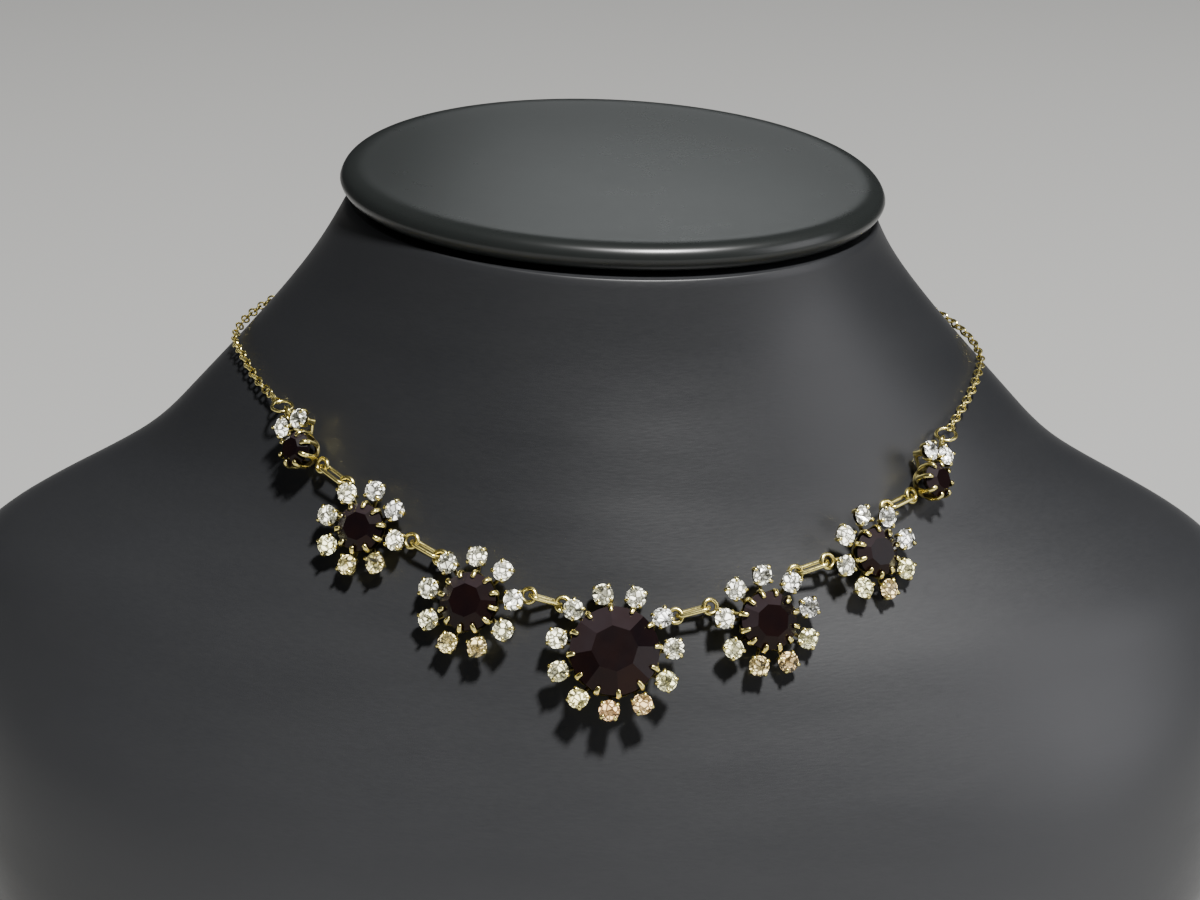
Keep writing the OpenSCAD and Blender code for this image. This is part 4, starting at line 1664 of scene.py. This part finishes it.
@dataclass
class NeckChain:
    """Half of the neck chain: small round links from the jump ring to the clasp."""

    setting: Setting
    clasp: "Clasp"
    pitch: float = 0.00165
    link_half_w: float = 0.00075
    wire_r: float = 0.0002
    lay: float = 20.0
    lay_rise: float = 0.02
    settle: int = 4
    samples: int = 1200
    link_points: int = 18

    def build(self) -> None:
        """Makes the chain's piece."""
        kit = self.setting.kit
        bust = self.setting.bust
        side = self.setting.side
        ring = self.setting.ring_seat()
        hook = self.pitch / 2 - kit.ring_wire_r
        stations = [ring.put((kit.ring_r + hook) * X_AXIS)]
        stations += [bust.above(phi, t, CHAIN_LIFT) for phi, t in CHAIN_ROUTES[side]]
        stations.append(self.clasp.end_point(side, hook))
        steps = np.linspace(0, len(stations) - 1, self.samples)
        line = np.array([smooth_curve(stations, v) for v in steps])
        run = np.concatenate([[0], np.cumsum(np.linalg.norm(np.diff(line, axis=0), axis=1))])
        count = int(round(run[-1] / self.pitch))
        at = np.linspace(0, run[-1], count + 1)
        centres = np.stack([np.interp(at, run, line[:, k]) for k in range(3)], axis=1)
        ahead = np.gradient(centres, axis=0)
        shape = Shape()
        oval = circle(1.0, self.link_points) * [self.pitch / 2 + self.wire_r, self.link_half_w, 1]
        for i, (centre, along) in enumerate(zip(centres, ahead)):
            out = unit(np.array([centre[0], centre[1] - bust.middle_y, self.lay_rise]))
            blend = min(1.0, i / self.settle)
            lay = unit(out * blend + np.cross(ring.z, unit(along)) * (1 - blend))
            spot = Frame.along(centre, unit(along), lay).rolled(90 * (i % 2) + self.lay * blend)
            shape.wire(oval, WORLD.z, self.wire_r, spot, closed=True, sides=8)
        node = f"chain_{side.name.lower()}"
        LOG.info("%s: %d links over %.1f mm", node, count + 1, run[-1] * 1000)
        make_piece(f"{node}_links", shape, [kit.gold], Slot.GOLD, node)


@dataclass
class Clasp:
    """The plain ring clasp at the back, with a small ring soldered on each side."""

    bust: NeckBust
    kit: Jeweller
    phi: float = 90.0
    height: float = 0.128
    ring_r: float = 0.0025
    wire_r: float = 0.00065
    end_r: float = 0.00095
    end_out: float = 0.0039

    def frame(self) -> Frame:
        """Works out where the clasp lies.

        Returns:
            Its frame, flat on the back of the neck.
        """
        place = self.bust.above(self.phi, self.height, CHAIN_LIFT)
        n = self.bust.normal(self.phi, self.height)
        return Frame(place, -X_AXIS, np.cross(n, -X_AXIS), n)

    def end_point(self, side: Side, beyond: float) -> np.ndarray:
        """The middle of a chain's last link.

        Args:
            side: Which half of the necklace.
            beyond: How far it is outside the end ring's wire.

        Returns:
            The point.
        """
        return self.frame().origin + side.value * (self.end_out + self.end_r + beyond) * X_AXIS

    def build(self) -> None:
        """Makes the clasp's piece."""
        shape = Shape()
        spot = self.frame()
        shape.ring(self.ring_r, self.wire_r, spot, count=56)
        for side in Side:
            end = spot.at(side.value * self.end_out * X_AXIS)
            shape.ring(self.end_r, self.kit.ring_wire_r, end, count=28)
        make_piece("clasp_ring", shape, [self.kit.gold], Slot.GOLD, "clasp")


# Studio


@dataclass(frozen=True)
class Lamp:
    """A soft square lamp that faces a point."""

    name: str
    place: tuple[float, float, float]
    size: float
    watts: float
    colour: tuple[float, float, float] = (1.0, 1.0, 1.0)
    target: tuple[float, float, float] = (0.0, -0.02, 0.09)

    def build(self) -> None:
        """Hangs the lamp."""
        light = bpy.data.lights.new(self.name, "AREA")
        light.shape = "SQUARE"
        light.size = self.size
        light.energy = self.watts
        light.color = self.colour
        place = np.array(self.place)
        back = unit(place - np.array(self.target))
        across = unit(np.cross(WORLD.z, back))
        lamp = add_object(self.name, light)
        lamp.matrix_world = Frame(place, across, np.cross(back, across), back).matrix()


@dataclass(frozen=True)
class PictureCamera:
    """The camera, from the angles of the reference picture and where one point shows in it."""

    width: int = 1200
    height: int = 900
    field_of_view: float = 25.7
    azimuth: float = 0.9
    elevation: float = 20.0
    roll: float = 1.0
    aim: tuple[float, float, float] = (0.0, -0.0535, 0.081)
    aim_px: tuple[float, float] = (604.9, 674.0)
    metres_per_px: float = 0.00017867
    nearest: float = 0.01
    farthest: float = 50.0

    def build(self) -> None:
        """Places the camera and makes it the scene's."""
        focal_px = self.width / 2 / math.tan(math.radians(self.field_of_view / 2))
        a = math.radians(self.azimuth)
        e = math.radians(self.elevation)
        r = math.radians(self.roll)
        ahead = np.array([math.sin(a) * math.cos(e), math.cos(a) * math.cos(e), -math.sin(e)])
        level = np.array([math.cos(a), -math.sin(a), 0.0])
        upward = np.cross(level, ahead)
        right = math.cos(r) * level + math.sin(r) * upward
        top = math.cos(r) * upward - math.sin(r) * level
        side = (self.aim_px[0] - self.width / 2) / focal_px
        rise = (self.height / 2 - self.aim_px[1]) / focal_px
        distance = self.metres_per_px * focal_px
        place = np.array(self.aim) - distance * (ahead + side * right + rise * top)
        data = bpy.data.cameras.new("picture_camera")
        data.lens = data.sensor_width / 2 / math.tan(math.radians(self.field_of_view / 2))
        data.clip_start = self.nearest
        data.clip_end = self.farthest
        camera = add_object("picture_camera", data)
        camera.matrix_world = Frame(place, right, top, -ahead).matrix()
        bpy.context.scene.camera = camera


@dataclass(frozen=True)
class Studio:
    """Pale floor, soft lamps and the light of the room."""

    floor_size: float = 14.0
    room: Colour = (0.55, 0.57, 0.6, 1)
    room_strength: float = 0.06
    lamps: tuple[Lamp, ...] = (
        Lamp("key_lamp", (0.56, -0.98, 2.3), 0.28, 165.0, (1.0, 0.99, 0.98)),
        Lamp("back_lamp", (0.15, 2.0, 1.3), 0.5, 1.25, (0.95, 0.99, 1.0)),
        Lamp("right_lamp", (1.6, -0.55, 0.7), 0.9, 8.0, (0.97, 0.96, 1.0)),
    )

    def build(self) -> None:
        """Sets up floor, lamps and room."""
        half = self.floor_size / 2
        mesh = bpy.data.meshes.new("floor")
        corners = [(-half, -half, 0), (half, -half, 0), (half, half, 0), (-half, half, 0)]
        mesh.from_pydata(corners, [], [(0, 1, 2, 3)])
        mesh.materials.append(FloorPaint().material())
        floor = add_object("floor", mesh)
        for lamp in self.lamps:
            lamp.build()
        world = bpy.data.worlds.new("room")
        world.use_nodes = True
        sky = world.node_tree.nodes["Background"]
        sky.inputs["Color"].default_value = self.room
        sky.inputs["Strength"].default_value = self.room_strength
        bpy.context.scene.world = world


def main() -> None:
    """Builds the bust, the necklace and the studio."""
    logging.basicConfig(level=logging.INFO, format="%(message)s", stream=sys.stdout)
    PictureCamera().build()
    Studio().build()
    bust = NeckBust(BUST_PAINT)
    cap = NeckCap(CAP_PAINT)
    bust.build(cap)
    cap.build(bust)
    kit = Jeweller(GoldPlate().material(), [RedGlass().material(), RedFoil().material()],
                   [ClearGlass().material(), SilverFoil().material()])
    settings = [Setting(place, bust, kit) for place in PLACES]
    for setting in settings:
        setting.build()
    names = ["link_left_end", "link_left_outer", "link_left_mid", "link_right_mid", "link_right_outer",
             "link_right_end"]
    for left, right, name in zip(settings, settings[1:], names):
        OvalLink(left, right, name).build()
    clasp = Clasp(bust, kit)
    clasp.build()
    for setting in (settings[0], settings[-1]):
        JumpRing(setting).build()
        NeckChain(setting, clasp).build()


if __name__ == "__main__":
    main()
